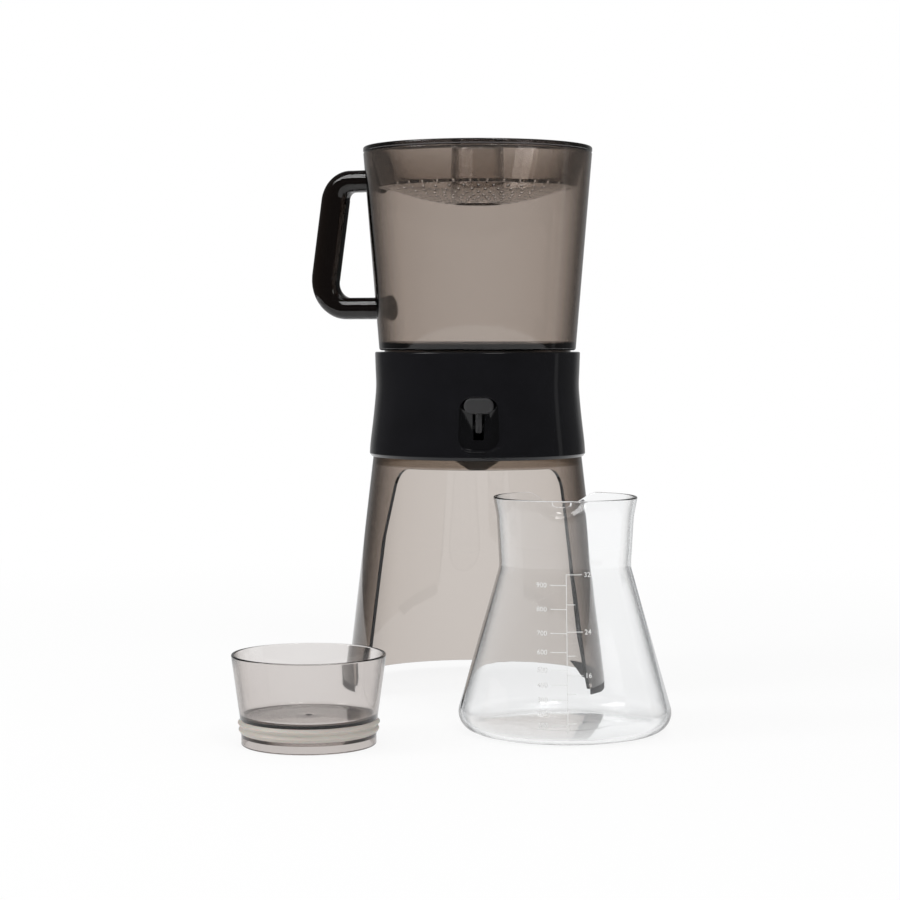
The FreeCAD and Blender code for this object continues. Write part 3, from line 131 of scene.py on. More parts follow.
class ContainerSizes(PropertyGroup):
    rim_radius: length("Rim radius", "Outer radius at the rim", 0.0814)
    rim: length("Rim height", "Height of the rim", 0.376)
    taper: number("Taper", "Radius lost per unit of height", 0.0805)
    wall: length("Wall", "Thickness of the smoked wall", 0.0025)
    floor: length("Floor", "Height of the floor's upper face", 0.2387)
    well: length("Well radius", "Radius of the filter's well", 0.0386)
    handle_width: length("Handle width", "Width of the handle bar", 0.0164)
    handle_arm: length("Arm thickness", "Thickness of the handle's two arms", 0.0158)
    handle_leg: length("Leg thickness", "Thickness of the handle's grip", 0.0208)
    handle_edge: length("Handle rounding", "Rounding along the bar's corners", 0.0065)
    handle_top: length("Handle top", "Height of the upper arm", 0.3590)
    handle_foot: length("Handle foot", "Height of the lower arm", 0.2662)
    top_reach: length("Upper reach", "How far out the upper arm goes", 0.1144)
    foot_reach: length("Lower reach", "How far out the lower arm goes", 0.1282)
    boss: length("Boss radius", "Radius of the round boss at each end of the handle", 0.0094)
    handle_turn: angle("Handle turn", "How far the handle is turned back from the left", 27)


class LidSizes(PropertyGroup):
    radius: length("Flange radius", "Outer radius of the lid", 0.0815)
    top: length("Top", "Height of the flange", 0.380)
    plate: length("Plate thickness", "Thickness of the dished plate", 0.002)
    dish_radius: length("Dish radius", "Radius of the dished plate", 0.0662)
    dish_rise: length("Dish rise", "How far the plate's edge stands over its middle", 0.0133)
    dish_low: length("Dish low", "Height of the plate's middle", 0.3409)
    knob_radius: length("Knob radius", "Outer radius of the knob", 0.0192)
    knob_top: length("Knob top", "Height of the knob", 0.3768)
    hole: length("Hole radius", "Radius of a drip hole", 0.00115)
    hole_rings: IntProperty(name="Hole rings", description="Rings of drip holes", default=8)
    hole_count: IntProperty(name="Holes per ring", description="Drip holes in each ring", default=36)
    hole_first: length("First ring", "Radius of the innermost ring of holes", 0.0226)
    hole_pitch: length("Ring pitch", "Distance between rings", 0.006)


class CarafeSizes(PropertyGroup):
    height: length("Height", "Height of the rim", 0.1496)
    bottom: length("Bottom radius", "Where the straight side would meet the table", 0.0719)
    neck: length("Neck radius", "Outer radius of the neck", 0.0419)
    neck_height: length("Neck height", "Height of the neck's foot", 0.1051)
    flare: length("Flare radius", "Outer radius where the rim starts to flare", 0.0437)
    flare_height: length("Flare height", "Height where the rim starts to flare", 0.1371)
    rim: length("Rim radius", "Outer radius of the rim", 0.0460)
    wall: length("Wall", "Thickness of the glass", 0.0018)
    dip: length("Dip", "How far the pouring lip comes down", 0.0105)
    line: length("Line width", "Width of a printed line", 0.00042)
    digit: length("Digit height", "Height of a printed digit", 0.0030)


class StopperSizes(PropertyGroup):
    height: length("Height", "Height of the cup", 0.0559)
    rim: length("Rim radius", "Outer radius of the rim", 0.048)
    wall: length("Wall", "Thickness of the cup's wall", 0.0019)


class Finishes(PropertyGroup):
    smoke: colour("Smoke", "Tint of the smoked plastic", 0.32, 0.21, 0.12)
    smoke_density: number("Smoke density", "How strongly the smoked plastic takes light, per metre", 300.0)
    # Painted shade: the colour that the smoked bodies run to where they are seen at a slant, for their dark
    # edges.
    rim: colour("Smoke rim", "Tint of the smoked plastic where it is seen along its wall", 0.05, 0.045, 0.045)
    lid_density: number("Lid density", "How strongly the lid takes light, per metre", 130.0)
    # Painted shade: darkens the skirt's band above the arch, under the collar.
    band: colour("Skirt band", "Tint of the skirt's thick band under the collar", 0.55, 0.50, 0.445)
    # Painted shade: darkens the container below its floor, where its foot stands down in the collar.
    foot: colour("Container foot", "Tint of the container's thick foot", 0.35, 0.33, 0.32)
    # Partly a darker tint for the thick bar, partly painted shade at its sides where they are seen at a
    # slant.
    handle: colour("Handle", "Tint of the handle's thick bar", 0.26, 0.28, 0.32)
    # Painted shade: darkens the lid's top band, the knob's top included.
    flange: colour("Lid flange", "Tint of the lid's thick flange", 0.16, 0.16, 0.17)
    pale: colour("Pale smoke", "Tint of the stopper cup", 0.24, 0.13, 0.07)
    pale_density: number("Pale density", "How strongly the cup takes light, per metre", 140.0)
    # Painted shade: darkens the cup where it is seen at a slant.
    pale_rim: colour("Pale rim", "Tint of the cup where it is seen along its wall", 0.2, 0.19, 0.18)
    # Painted shade: darkens the cup's foot ring, by the table.
    pale_foot: colour("Pale foot", "Tint of the cup's foot ring", 0.75, 0.72, 0.705)
    glass: colour("Glass", "Tint of the glass", 0.80, 0.92, 0.90)
    # Painted shade: darkens the glass where it is seen at a slant.
    glass_rim: colour("Glass rim", "Tint of the glass where it is seen along its wall", 0.06, 0.07, 0.08)
    glass_face: colour("Glass face", "Tint of the glass where it is seen face on", 0.972, 0.974, 0.977)
    gloss: colour("Gloss black", "Colour of the collar", 0.0042, 0.0042, 0.0052)
    satin: colour("Satin black", "Colour of the hidden black parts", 0.010, 0.010, 0.011)
    lever: colour("Lever grey", "Colour of the lever", 0.029, 0.0285, 0.030)
    silicone: colour("Silicone", "Colour of the cup's seal", 0.59, 0.55, 0.50)
    gasket: colour("Gasket", "Colour of the filter's gasket", 0.19, 0.19, 0.20)
    sole: colour("Feet", "Colour of the stand's rubber feet", 0.016, 0.015, 0.016)
    steel: colour("Steel", "Colour of the steel parts", 0.62, 0.61, 0.60)
    print: colour("Print", "Colour of the carafe's scale", 0.86, 0.86, 0.85)


class StageSettings(PropertyGroup):
    lens: number("Lens", "Focal length in millimetres", 90.06)
    pitch: angle("Pitch", "How far the camera looks down", 2.917)
    left: length("Camera left", "How far left of the stand the camera is", 0.01967)
    away: length("Camera away", "How far in front of the stand the camera is", 1.61168)
    height: length("Camera height", "Height of the camera", 0.2520)
    floor: length("Floor radius", "Radius of the pale floor", 1.5)
    shadow: number("Shadow share", "Share of the floor that takes shadows near the object", 0.12)
    ambient: number("Ambient", "Strength of the room's soft light", 0.62)
    glow_back: number("Back glow", "How bright the room behind looks in reflections", 0.35)
    glow_front: number("Front glow", "How bright the room in front looks in reflections", 0.10)
    ceiling: number("Ceiling", "How bright the room above looks through clear pieces", 0.3)


# ---------- outlines


def fillet(before, corner, after, radius):
    """A round corner: its centre, the arm to its start, and the ways back and ahead."""
    back = (before - corner).normalized()
    ahead = (after - corner).normalized()
    half = back.angle(ahead) / 2
    centre = corner + (back + ahead).normalized() * radius / math.sin(half)
    return centre, corner + back * radius / math.tan(half) - centre, back, ahead


def rounded(corners, closed=False, step=8.0, run=None):
    """Points of an outline of (radius, height[, rounding]) corners, its long runs divided by run."""
    flat = [Vector(corner[:2]) for corner in corners]
    last = len(flat) - 1
    points = []
    for i, corner in enumerate(corners):
        if len(corner) < 3 or (not closed and i in (0, last)):
            points.append(flat[i])
            continue
        centre, arm, back, ahead = fillet(flat[i - 1], flat[i], flat[(i + 1) % len(flat)], corner[2])
        sweep = math.pi - back.angle(ahead)
        side = 1 if back.cross(ahead) < 0 else -1
        count = max(2, math.ceil(math.degrees(sweep) / step))
        for k in range(count + 1):
            points.append(centre + Matrix.Rotation(side * sweep * k / count, 2) @ arm)
    if run is None:
        return points
    divided = []
    for i, point in enumerate(points):
        divided.append(point)
        if i == len(points) - 1 and not closed:
            break
        after = points[(i + 1) % len(points)]
        count = max(1, math.ceil((after - point).length / run))
        divided += [point.lerp(after, k / count) for k in range(1, count)]
    return divided


def flowing(points, steps):
    """A smooth line through a few (radius, height) points."""
    line = [Vector(point) for point in points]
    ends = [2 * line[0] - line[1], *line, 2 * line[-1] - line[-2]]
    way = []
    for a, b, c, d in zip(ends, ends[1:], ends[2:], ends[3:]):
        for k in range(steps):
            t = k / steps
            bend = (2 * a - 5 * b + 4 * c - d) * t ** 2 + (3 * b - a - 3 * c + d) * t ** 3
            way.append(tuple(0.5 * (2 * b + (c - a) * t + bend)))
    return way + [tuple(line[-1])]


# ---------- modelling


def made(name):
    """The object just added, with its name."""
    piece = bpy.context.object
    piece.name = piece.data.name = name
    return piece


def clear_selection():
    """Nothing selected, in object mode."""
    if bpy.context.object and bpy.context.object.mode != "OBJECT":
        bpy.ops.object.mode_set(mode="OBJECT")
    bpy.ops.object.select_all(action="DESELECT")


def take(piece):
    """Selects one object and makes it active."""
    clear_selection()
    piece.select_set(True)
    bpy.context.view_layer.objects.active = piece


def edit(piece, kind="VERT"):
    """Opens a piece in edit mode with all of it selected."""
    take(piece)
    bpy.ops.object.mode_set(mode="EDIT")
    bpy.ops.mesh.select_mode(type=kind)
    bpy.ops.mesh.select_all(action="SELECT")


def pick(piece, kind, wanted):
    """Selects, in edit mode, the verts, edges or faces whose middle passes a test."""
    bpy.ops.mesh.select_mode(type=kind)
    bpy.ops.mesh.select_all(action="DESELECT")
    mesh = bmesh.from_edit_mesh(piece.data)
    for part in {"VERT": mesh.verts, "EDGE": mesh.edges, "FACE": mesh.faces}[kind]:
        ends = [part] if kind == "VERT" else part.verts
        part.select = bool(wanted(sum((v.co for v in ends), Vector()) / len(ends), part))
    mesh.select_flush_mode()
    bmesh.update_edit_mesh(piece.data)


def apply_place(piece):
    """Puts a piece's place and turn into its mesh."""
    take(piece)
    bpy.ops.object.transform_apply(location=True, rotation=True, scale=True)


def smooth(piece, degrees=30):
    """Smooth shading up to an angle."""
    take(piece)
    bpy.ops.object.shade_smooth_by_angle(angle=math.radians(degrees))


def modify(piece, kind, **settings):
    """Adds a modifier, sets it and applies it."""
    take(piece)
    bpy.ops.object.modifier_add(type=kind)
    modifier = piece.modifiers[-1]
    for key, value in settings.items():
        setattr(modifier, key, value)
    bpy.ops.object.modifier_apply(modifier=modifier.name)


def cut(piece, tool, operation="DIFFERENCE"):
    """Cuts a piece with a tool, or joins the tool to it, and removes the tool."""
    modify(piece, "BOOLEAN", operation=operation, solver="EXACT", object=tool)
    bpy.data.objects.remove(tool)


def turn(radians, centre, axis):
    """Turns the selection; with no window the operator turns the other way."""
    bpy.ops.transform.rotate(value=-radians, orient_axis=axis, center_override=centre)


def turned(name, points, centre, segments, closed=False):
    """A round body, drawn ring by ring from a circle at its outline's first point."""
    disc = not closed and points[0][0] < 1e-7
    if disc:
        points = points[1:]
    first = points[0]
    bpy.ops.mesh.primitive_circle_add(
        vertices=segments, radius=first[0], fill_type="TRIFAN" if disc else "NOTHING",
        location=centre + Vector((0, 0, first[1])),
    )
    piece = made(name)
    edit(piece, "EDGE")
    if disc:
        bpy.ops.mesh.select_all(action="DESELECT")
        bpy.ops.mesh.select_non_manifold()
    route = [*points, first] if closed else points
    for here, there in zip(route, route[1:]):
        bpy.ops.mesh.extrude_edges_move(TRANSFORM_OT_translate={"value": (0, 0, there[1] - here[1])})
        size = there[0] / here[0]
        bpy.ops.transform.resize(value=(size, size, 1), center_override=centre)
    bpy.ops.mesh.select_all(action="SELECT")
    bpy.ops.mesh.remove_doubles(threshold=1e-5)
    bpy.ops.mesh.normals_make_consistent(inside=False)
    apply_place(piece)
    smooth(piece)
    return piece


def block(name, low, high):
    """A box between two corners, as a start or a tool."""
    bpy.ops.mesh.primitive_cube_add(size=1, location=(low + high) / 2)
    piece = made(name)
    piece.scale = high - low
    apply_place(piece)
    return piece


def opening(name, centre, outline, corner, depths, round_foot):
    """A tapered block with round corners; its outline is its half width and height at foot and top."""
    foot_half, foot, top_half, top = outline
    low = centre + Vector((-foot_half, depths[0], foot))
    high = centre + Vector((foot_half, depths[1], top))
    tool = block(name, low, high)
    edit(tool)
    pick(tool, "VERT", lambda middle, part: middle.z > (low.z + high.z) / 2)
    bpy.ops.transform.resize(value=(top_half / foot_half, 1, 1), center_override=centre)
    slope = math.atan2(foot_half - top_half, top - foot)
    ends = [(high.z, top_half, math.pi / 2 + slope), (low.z, foot_half, math.pi / 2 - slope)]
    for edge_z, half, bend in ends if round_foot else ends[:1]:

        def at_corner(middle, part):
            return abs(middle.z - edge_z) < 1e-5 and abs(abs(middle.x - centre.x) - half) < 1e-5

        pick(tool, "EDGE", at_corner)
        bpy.ops.mesh.bevel(offset=corner / math.tan(bend / 2), segments=16, affect="EDGES")
    clear_selection()
    return tool


def settle(piece, body, finish, slot, *nodes):
    """Gives a finished piece its finish and its body, and hides the CAD nodes it stands for."""
    piece.data.materials.clear()
    piece.data.materials.append(bpy.data.materials[finish])
    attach(piece, body)
    if nodes:
        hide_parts(*nodes)


def finished_copy(node, name, ease, finish, slot, body):
    """A copy of a CAD node with its faces merged and its edges eased, which stands for it."""
    take(frame["nodes"][node])
    bpy.ops.object.duplicate()
    piece = made(name)
    del piece["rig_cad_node"]
    bpy.ops.object.parent_clear(type="CLEAR_KEEP_TRANSFORM")
    if piece.data.has_custom_normals:
        bpy.ops.mesh.customdata_custom_splitnormals_clear()
    edit(piece)
    bpy.ops.mesh.remove_doubles(threshold=1e-6)
    bpy.ops.mesh.dissolve_limited(angle_limit=math.radians(1.0))
    clear_selection()
    if ease:
        modify(piece, "BEVEL", width=ease, segments=2, limit_method="ANGLE", angle_limit=math.radians(38))
    smooth(piece, 32)
    settle(piece, body, finish, slot, node)
    return piece


def paint(node, finish):
    """Gives a CAD node that stays one of the finishes."""
    mesh = frame["nodes"][node].data
    mesh.materials.clear()
    mesh.materials.append(bpy.data.materials[finish])


# ---------- finishes


class Socket:
    """A node's output, on which a Python sum adds a Math node."""

    def __init__(self, recipe, output):
        self.recipe = recipe
        self.output = output

    def math(self, operation, first, second):
        return self.recipe.node("ShaderNodeMath", {0: first, 1: second}, operation=operation)[0]

    def __add__(self, other):
        return self.math("ADD", self, other)

    def __rsub__(self, other):
        return self.math("SUBTRACT", other, self)

    def __mul__(self, other):
        return self.math("MULTIPLY", self, other)

    def __or__(self, other):
        return self.math("MAXIMUM", self, other)


class Recipe:
    """The nodes of one finish."""

    def __init__(self, tree):
        self.tree = tree
        tree.nodes.clear()

    def node(self, kind, sockets=(), **settings):
        """Adds a node, its settings first, then its sockets' values or links, and gives its outputs."""
        node = self.tree.nodes.new(kind)
        for key, value in settings.items():
            setattr(node, key, value)
        for key, value in dict(sockets).items():
            if isinstance(value, Socket):
                self.tree.links.new(value.output, node.inputs[key])
            else:
                node.inputs[key].default_value = value
        outputs = {output.name: Socket(self, output) for output in node.outputs if output.enabled}
        outputs.update({i: Socket(self, output) for i, output in enumerate(node.outputs)})
        return outputs

    def noise(self, place, scale, detail=2.0, stretch=(1, 1, 1)):
        """Noise on the piece's own place, drawn out along an axis."""
        drawn = self.node("ShaderNodeMapping", {"Vector": place, "Scale": stretch})["Vector"]
        return self.node("ShaderNodeTexNoise", {"Vector": drawn, "Scale": scale, "Detail": detail})[0]

    def blend(self, amount, first, second, way="MIX"):
        """One colour run into another, or multiplied by it."""
        first, second = (shade if isinstance(shade, Socket) else (*shade, 1) for shade in (first, second))
        sockets = {0: amount, 6: first, 7: second}
        return self.node("ShaderNodeMix", sockets, data_type="RGBA", blend_type=way)[2]

    def step(self, value, start, full, low=0.0, high=1.0):
        """Runs softly from low to high while a value goes from start to full."""
        sockets = {"Value": value, "From Min": start, "From Max": full, "To Min": low, "To Max": high}
        return self.node("ShaderNodeMapRange", sockets, interpolation_type="SMOOTHSTEP")["Result"]

    def axis(self, vector, letter):
        """One axis of a vector."""
        return self.node("ShaderNodeSeparateXYZ", {"Vector": vector})[letter]

    def plastic(self, sockets):
        """A principled surface."""
        return self.node("ShaderNodeBsdfPrincipled", sockets)[0]

    def bump(self, height, strength, distance):
        """A normal from a height."""
        sockets = {"Strength": strength, "Distance": distance, "Height": height}
        return self.node("ShaderNodeBump", sockets)["Normal"]


def new_finish(name):
    """An empty material, its recipe and its place socket."""
    material = bpy.data.materials.new(name)
    material.use_nodes = True
    recipe = Recipe(material.node_tree)
    return recipe, recipe.node("ShaderNodeTexCoord")["Object"]


def close_finish(recipe, surface, volume=None):
    """Joins the shaders to the material's output."""
    recipe.node("ShaderNodeOutputMaterial", {"Surface": surface, **({"Volume": volume} if volume else {})})


def clear_finish(name, tint, density, roughness, swell, edge, zone=None, ior=1.5, waves=60.0):
    """A clear body: soft waves, fine haze, a tint that deepens with its wall, painted shade on its rims, and
    a zone.

    The edge and the zone are (slant or height where it starts, where it is full, its colour). The edge's
    colour is painted shade on upright faces seen at a slant. The zone's colour is multiplied in over a range
    of heights.
    """
    recipe, place = new_finish(name)
    flow = recipe.noise(place, waves, 1.5, (1, 1, 0.15))
    haze = recipe.noise(place, 420.0, 3.0)
    start, full, shade = edge
    # Painted shade: the colour runs towards the edge's shade where an upright surface is seen at a slant, for
    # dark edges.
    slant = recipe.node("ShaderNodeLayerWeight", {"Blend": 0.5})["Facing"]
    level = recipe.axis(recipe.node("ShaderNodeNewGeometry")["Normal"], "Z")
    rim_shade_upright = recipe.step(level * level, 0.88, 0.36)
    skin_and_painted_shade = recipe.blend(recipe.step(slant, start, full) * rim_shade_upright, (1, 1, 1), shade)
    # The zone multiplies a colour in over a range of heights: painted shade, or for the glass its own faint
    # tint.
    if zone:
        start, full, shade = zone
        skin_and_painted_shade = recipe.blend(recipe.step(recipe.axis(place, "Z"), start, full), skin_and_painted_shade, shade, "MULTIPLY")
    sockets = {
        "Base Color": skin_and_painted_shade,
        "Roughness": haze * roughness + roughness * 0.4,
        "IOR": ior,
        "Transmission Weight": 1.0,
        "Normal": recipe.bump(flow, 0.35, swell),
    }
    volume = recipe.node("ShaderNodeVolumeAbsorption", {"Color": (*tint, 1), "Density": density})[0]
    close_finish(recipe, recipe.plastic(sockets), volume)


def moulded_finish(name, base, lift, roughness, spread, grain, depth, specular=0.5):
    """An opaque moulded body: colour clouded up to lift times the base, uneven gloss and a fine grain."""
    recipe, place = new_finish(name)
    cloud = recipe.noise(place, 38.0, 3.0)
    fine = recipe.noise(place, grain, 2.0)
    scuff = recipe.noise(place, 160.0, 4.0, (1, 1, 0.2))
    sockets = {
        "Base Color": recipe.blend(cloud, base, tuple(lift * part for part in base)),
        "Roughness": scuff * spread + roughness,
        "Specular IOR Level": specular,
        "Normal": recipe.bump(fine, 0.4, depth),
    }
    close_finish(recipe, recipe.plastic(sockets))


def silicone_finish(name, base, lift, roughness):
    """Soft silicone with a dusty, faintly cloudy face, its colour clouded to lift times the base."""
    recipe, place = new_finish(name)
    cloud = recipe.noise(place, 55.0, 3.0)
    dust = recipe.noise(place, 900.0, 2.0)
    sockets = {
        "Base Color": recipe.blend(cloud, base, tuple(lift * part for part in base)),
        "Roughness": dust * 0.12 + roughness,
        "Subsurface Weight": 0.25,
        "Subsurface Scale": 0.002,
        "Normal": recipe.bump(dust, 0.3, 0.00004),
    }
    close_finish(recipe, recipe.plastic(sockets))


def steel_finish(name, base, weave):
    """Bright steel, brushed, or woven where weave gives the wires' pitch."""
    recipe, place = new_finish(name)
    brushed = recipe.noise(place, 260.0, 3.0, (1, 14, 14))
    height, shade = brushed * 0.3, brushed
    if weave:
        sockets = {"Vector": place, "Scale": weave}
        warp, weft = (recipe.node("ShaderNodeTexWave", sockets, bands_direction=way)[1] for way in ("X", "Y"))
        height = shade = warp * weft
    sockets = {
        "Base Color": recipe.blend(shade, tuple(0.45 * part for part in base), base),
        "Metallic": 1.0,
        "Roughness": brushed * 0.2 + 0.22,
        "Normal": recipe.bump(height, 0.5, 0.0001),
    }
    close_finish(recipe, recipe.plastic(sockets))


class COFFEE_OT_finishes(Operator):
    """Mixes the finishes of every piece"""

    bl_idname = "coffee_maker.finishes"
    bl_label = "Finishes"

    def execute(self, context):
        tints = context.scene.coffee_finishes
        arch = TOWER.z + context.scene.coffee_stand.arch_top
        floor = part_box("container_wall")[0].z + 0.003
        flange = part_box("lid_rim")[1].z - 0.0052
        # Painted shade: the edge colours below darken each clear body where it is seen at a slant.
        smoke, dense, edge = tints.smoke, tints.smoke_density, (0.27, 0.88, tints.rim)
        # Painted shade: the skirt is darker above the arch, under the collar.
        clear_finish("skirt_smoke", smoke, dense, 0.05, 0.0003, edge, (arch, arch + 0.002, tints.band))
        # Painted shade: the container is darker below its floor, down in the collar.
        clear_finish("wall_smoke", smoke, dense, 0.05, 0.0003, edge, (floor, floor - 0.0006, tints.foot))
        # Painted shade: the lid is darker over its top band, flange and knob top.
        clear_finish("lid_smoke", smoke, tints.lid_density, 0.02, 0.0001, (0.2, 0.75, tints.rim),
                     (flange - 0.0003, flange + 0.0003, tints.flange))
        # Partly a darker tint for the thick bar, partly painted shade at its sides where they are seen at a
        # slant.
        clear_finish("handle_smoke", smoke, 1.6 * dense, 0.04, 0.0002, (-0.5, 0.6, tints.handle))
        # Painted shade: the cup darkens where it is seen at a slant and at its foot ring by the table.
        clear_finish("pale", tints.pale, tints.pale_density, 0.04, 0.0002, (0.50, 0.92, tints.pale_rim),
                     (0.0072, 0.0066, tints.pale_foot))
        # Painted shade: the glass darkens where it is seen at a slant; its face colour is its own faint tint.
        clear_finish("glass", tints.glass, 5.0, 0.01, 0.0003, (0.50, 0.92, tints.glass_rim),
                     (-1.0, -0.9, tints.glass_face), ior=1.47, waves=45.0)
        moulded_finish("gloss_black", tints.gloss, 2.0, 0.05, 0.06, 520.0, 0.00001, 0.4)
        moulded_finish("satin_black", tints.satin, 1.6, 0.30, 0.15, 900.0, 0.00003)
        moulded_finish("matte_grey", tints.lever, 1.25, 0.42, 0.16, 1500.0, 0.00005)
        moulded_finish("scale_print", tints.print, 0.94, 0.45, 0.1, 2500.0, 0.00001)
        silicone_finish("milky_rubber", tints.silicone, 0.93, 0.42)
        silicone_finish("grey_rubber", tints.gasket, 0.8, 0.5)
        silicone_finish("foot_rubber", tints.sole, 1.4, 0.55)
        steel_finish("bright_steel", tints.steel, 0)
        steel_finish("woven_steel", tints.steel, 900.0)
        return {"FINISHED"}


# ---------- stand


def skirt_radius(sizes, height):
    """Outside radius of the skirt at a height."""
    return sizes.foot_radius - sizes.taper * height


class COFFEE_OT_skirt(Operator):
    """Models the smoked skirt with its arched front"""

    bl_idname = "coffee_maker.skirt"
    bl_label = "Skirt"

    def execute(self, context):
        sizes = context.scene.coffee_stand
        # The arch's sides run towards the axis: its block widens with depth and is true at middle_depth.
        front, middle_depth, back = 0.11, 0.049, 0.0245
        rim_foot = sizes.top - 0.002
        top_r = skirt_radius(sizes, sizes.top)
        rim_in = top_r - sizes.wall - 0.010
        skirt = turned("skirt", rounded([
            (sizes.foot_radius, 0, 0.0008), (top_r, sizes.top), (rim_in, sizes.top),
            (rim_in, rim_foot), (skirt_radius(sizes, rim_foot) - sizes.wall, rim_foot, 0.0008),
            (sizes.foot_radius - sizes.wall, 0, 0.0008),
        ], closed=True, run=0.012), TOWER, sizes.segments, closed=True)
        slope = (sizes.arch_foot_half - sizes.arch_top_half) / sizes.arch_top
        below = sizes.arch_foot_half + slope * 0.01
        outline = (below, -0.01, sizes.arch_top_half, sizes.arch_top)
        depths = (-front, -back)
        arch = opening("arch", TOWER, outline, sizes.arch_corner, depths, round_foot=False)
        edit(arch)
        for depth in (front, back):
            side = TOWER.y - depth
            pick(arch, "FACE", lambda middle, part: all(abs(v.co.y - side) < 1e-5 for v in part.verts))
            bpy.ops.transform.resize(value=(depth / middle_depth, 1, 1), center_override=TOWER)
        clear_selection()
        cut(skirt, arch)
        smooth(skirt)
        settle(skirt, "stand", "skirt_smoke", "smoked_plastic", "stand_skirt")
        return {"FINISHED"}


class COFFEE_OT_collar(Operator):
    """Models the waisted black collar with its lever window"""

    bl_idname = "coffee_maker.collar"
    bl_label = "Collar"

    def execute(self, context):
        sizes = context.scene.coffee_stand
        low, high = (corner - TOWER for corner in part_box("collar_shell"))
        waist_bore = 0.0699
        ledge_r = skirt_radius(sizes, sizes.top) - sizes.wall - 0.007
        outside = flowing([
            (0.0771, low.z + 0.0021), (0.0765, 0.171), (0.0747, 0.186), (0.07325, 0.200),
            (0.0725, 0.211), (0.07285, 0.2225), (0.0732, high.z - 2 * sizes.collar_edge),
        ], 6)
        collar = turned("collar", rounded([
            (0.0756, low.z, 0.0004), (*outside[0], 0.0006), *outside[1:], (0.0732, high.z, sizes.collar_edge),
            (waist_bore, high.z, 0.0006), (waist_bore, 0.209), (waist_bore - 0.014, 0.209),
            (waist_bore - 0.014, 0.206), (waist_bore, 0.206), (waist_bore, 0.169), (ledge_r, 0.169),
            (ledge_r, sizes.top), (skirt_radius(sizes, sizes.top) + 0.0002, sizes.top),
            (skirt_radius(sizes, low.z) + 0.0002, low.z),
        ], closed=True), TOWER, sizes.segments, closed=True)
        pocket = -0.0504
        outline = (0.01602, 0.16658, 0.01452, 0.20572)
        cut(collar, opening("window", TOWER, outline, 0.0105, depths=(-0.083, pocket), round_foot=True))
        corner = Vector((0.0170, pocket, 0.1691))
        cut(collar, block("clearance", TOWER + Vector((-0.0170, -waist_bore, 0.1659)), TOWER + corner))
        smooth(collar)
        settle(collar, "stand", "gloss_black", "black_gloss", "collar_shell")
        return {"FINISHED"}


class COFFEE_OT_stand_parts(Operator):
    """Finishes the feet, tray, funnel, cover, bezel, pin and screws"""

    bl_idname = "coffee_maker.stand_parts"
    bl_label = "Stand parts"

    def execute(self, context):
        for node, name, ease, finish, slot in (
            ("stand_feet", "feet", 0.0002, "foot_rubber", "black_rubber"),
            ("lever_bezel", "bezel", 0.00045, "gloss_black", "black_gloss"),
            ("seat_tray", "tray", 0.0003, "satin_black", "black_satin"),
            ("drain_funnel", "funnel", 0.0003, "satin_black", "black_satin"),
            ("under_cover", "cover", 0.0003, "satin_black", "black_satin"),
        ):
            finished_copy(node, name, ease, finish, slot, "stand")
        for node in ("lever_pin", "tray_screws", "funnel_screws", "cover_screws", "bezel_screws"):
            paint(node, "bright_steel")
        return {"FINISHED"}


class COFFEE_OT_lever(Operator):
    """Finishes the lever, its thumb pad and the lifter"""

    bl_idname = "coffee_maker.lever"
    bl_label = "Lever"

    def execute(self, context):
        finished_copy("lever_arm", "lever", 0.00035, "matte_grey", "lever_grey", "lever")
        finished_copy("lever_pad", "thumb_pad", 0, "matte_grey", "lever_grey", "lever")
        finished_copy("valve_lifter", "lifter", 0.0003, "satin_black", "black_satin", "lifter")
        return {"FINISHED"}


# ---------- container


def container_radius(sizes, height):
    """Outside radius of the container at a height."""
    return sizes.rim_radius - sizes.taper * (sizes.rim - height)


class COFFEE_OT_container(Operator):
    """Models the smoked brewing container"""

    bl_idname = "coffee_maker.container"
    bl_label = "Container"

    def execute(self, context):
        sizes = context.scene.coffee_container
        under = sizes.floor - 0.0028
        shelf = sizes.well - 0.0026
        ring_in, ring_out, ring_foot = 0.0643, 0.0665, 0.2119
        bore, socket, outlet = 0.0066, 0.0080, 0.0105
        body = turned("container", rounded([
            (sizes.rim_radius, sizes.rim, 0.0008), (sizes.rim_radius - sizes.wall, sizes.rim, 0.0008),
            (container_radius(sizes, sizes.floor) - sizes.wall, sizes.floor, 0.004),
            (sizes.well, sizes.floor, 0.0008), (sizes.well, 0.2310), (shelf, 0.2310),
            (shelf, 0.2252, 0.0015), (bore, 0.2252), (bore, 0.2230), (socket, 0.2230),
            (socket, 0.2130), (outlet, 0.2130), (outlet, 0.2230), (shelf + 0.0024, 0.2230, 0.0015),
            (shelf + 0.0024, 0.2275), (sizes.well + 0.0024, 0.2295), (sizes.well + 0.0024, under),
            (ring_in, under), (ring_in, ring_foot), (ring_out, ring_foot), (ring_out, under),
            (container_radius(sizes, under), under, 0.0018),
        ], closed=True, run=0.02), TOWER, context.scene.coffee_stand.segments, closed=True)
        settle(body, "container", "wall_smoke", "smoked_plastic", "container_wall", "container_base")
        return {"FINISHED"}


def bar_stations(route, corners, steps):
    """Middles and turns of a bar's sections along a route in the XZ plane, round at its corners."""

    def heading(way):
        return math.atan2(-way.z, way.x) % (2 * math.pi)

    stations = [(route[0], heading(route[1] - route[0]), 0.0)]
    for i, radius in enumerate(corners, start=1):
        middle, arm, back, ahead = fillet(*route[i - 1:i + 2], radius)
        first = heading(-back)
        swing = heading(ahead) - first
        for step in range(steps + 1):
            share = step / steps
            place = middle + Matrix.Rotation(swing * share, 3, "Y") @ arm
            stations.append((place, first + swing * share, share if i == 1 else 1 - share))
    stations.append((route[-1], heading(route[-1] - route[-2]), 0.0))
    return stations


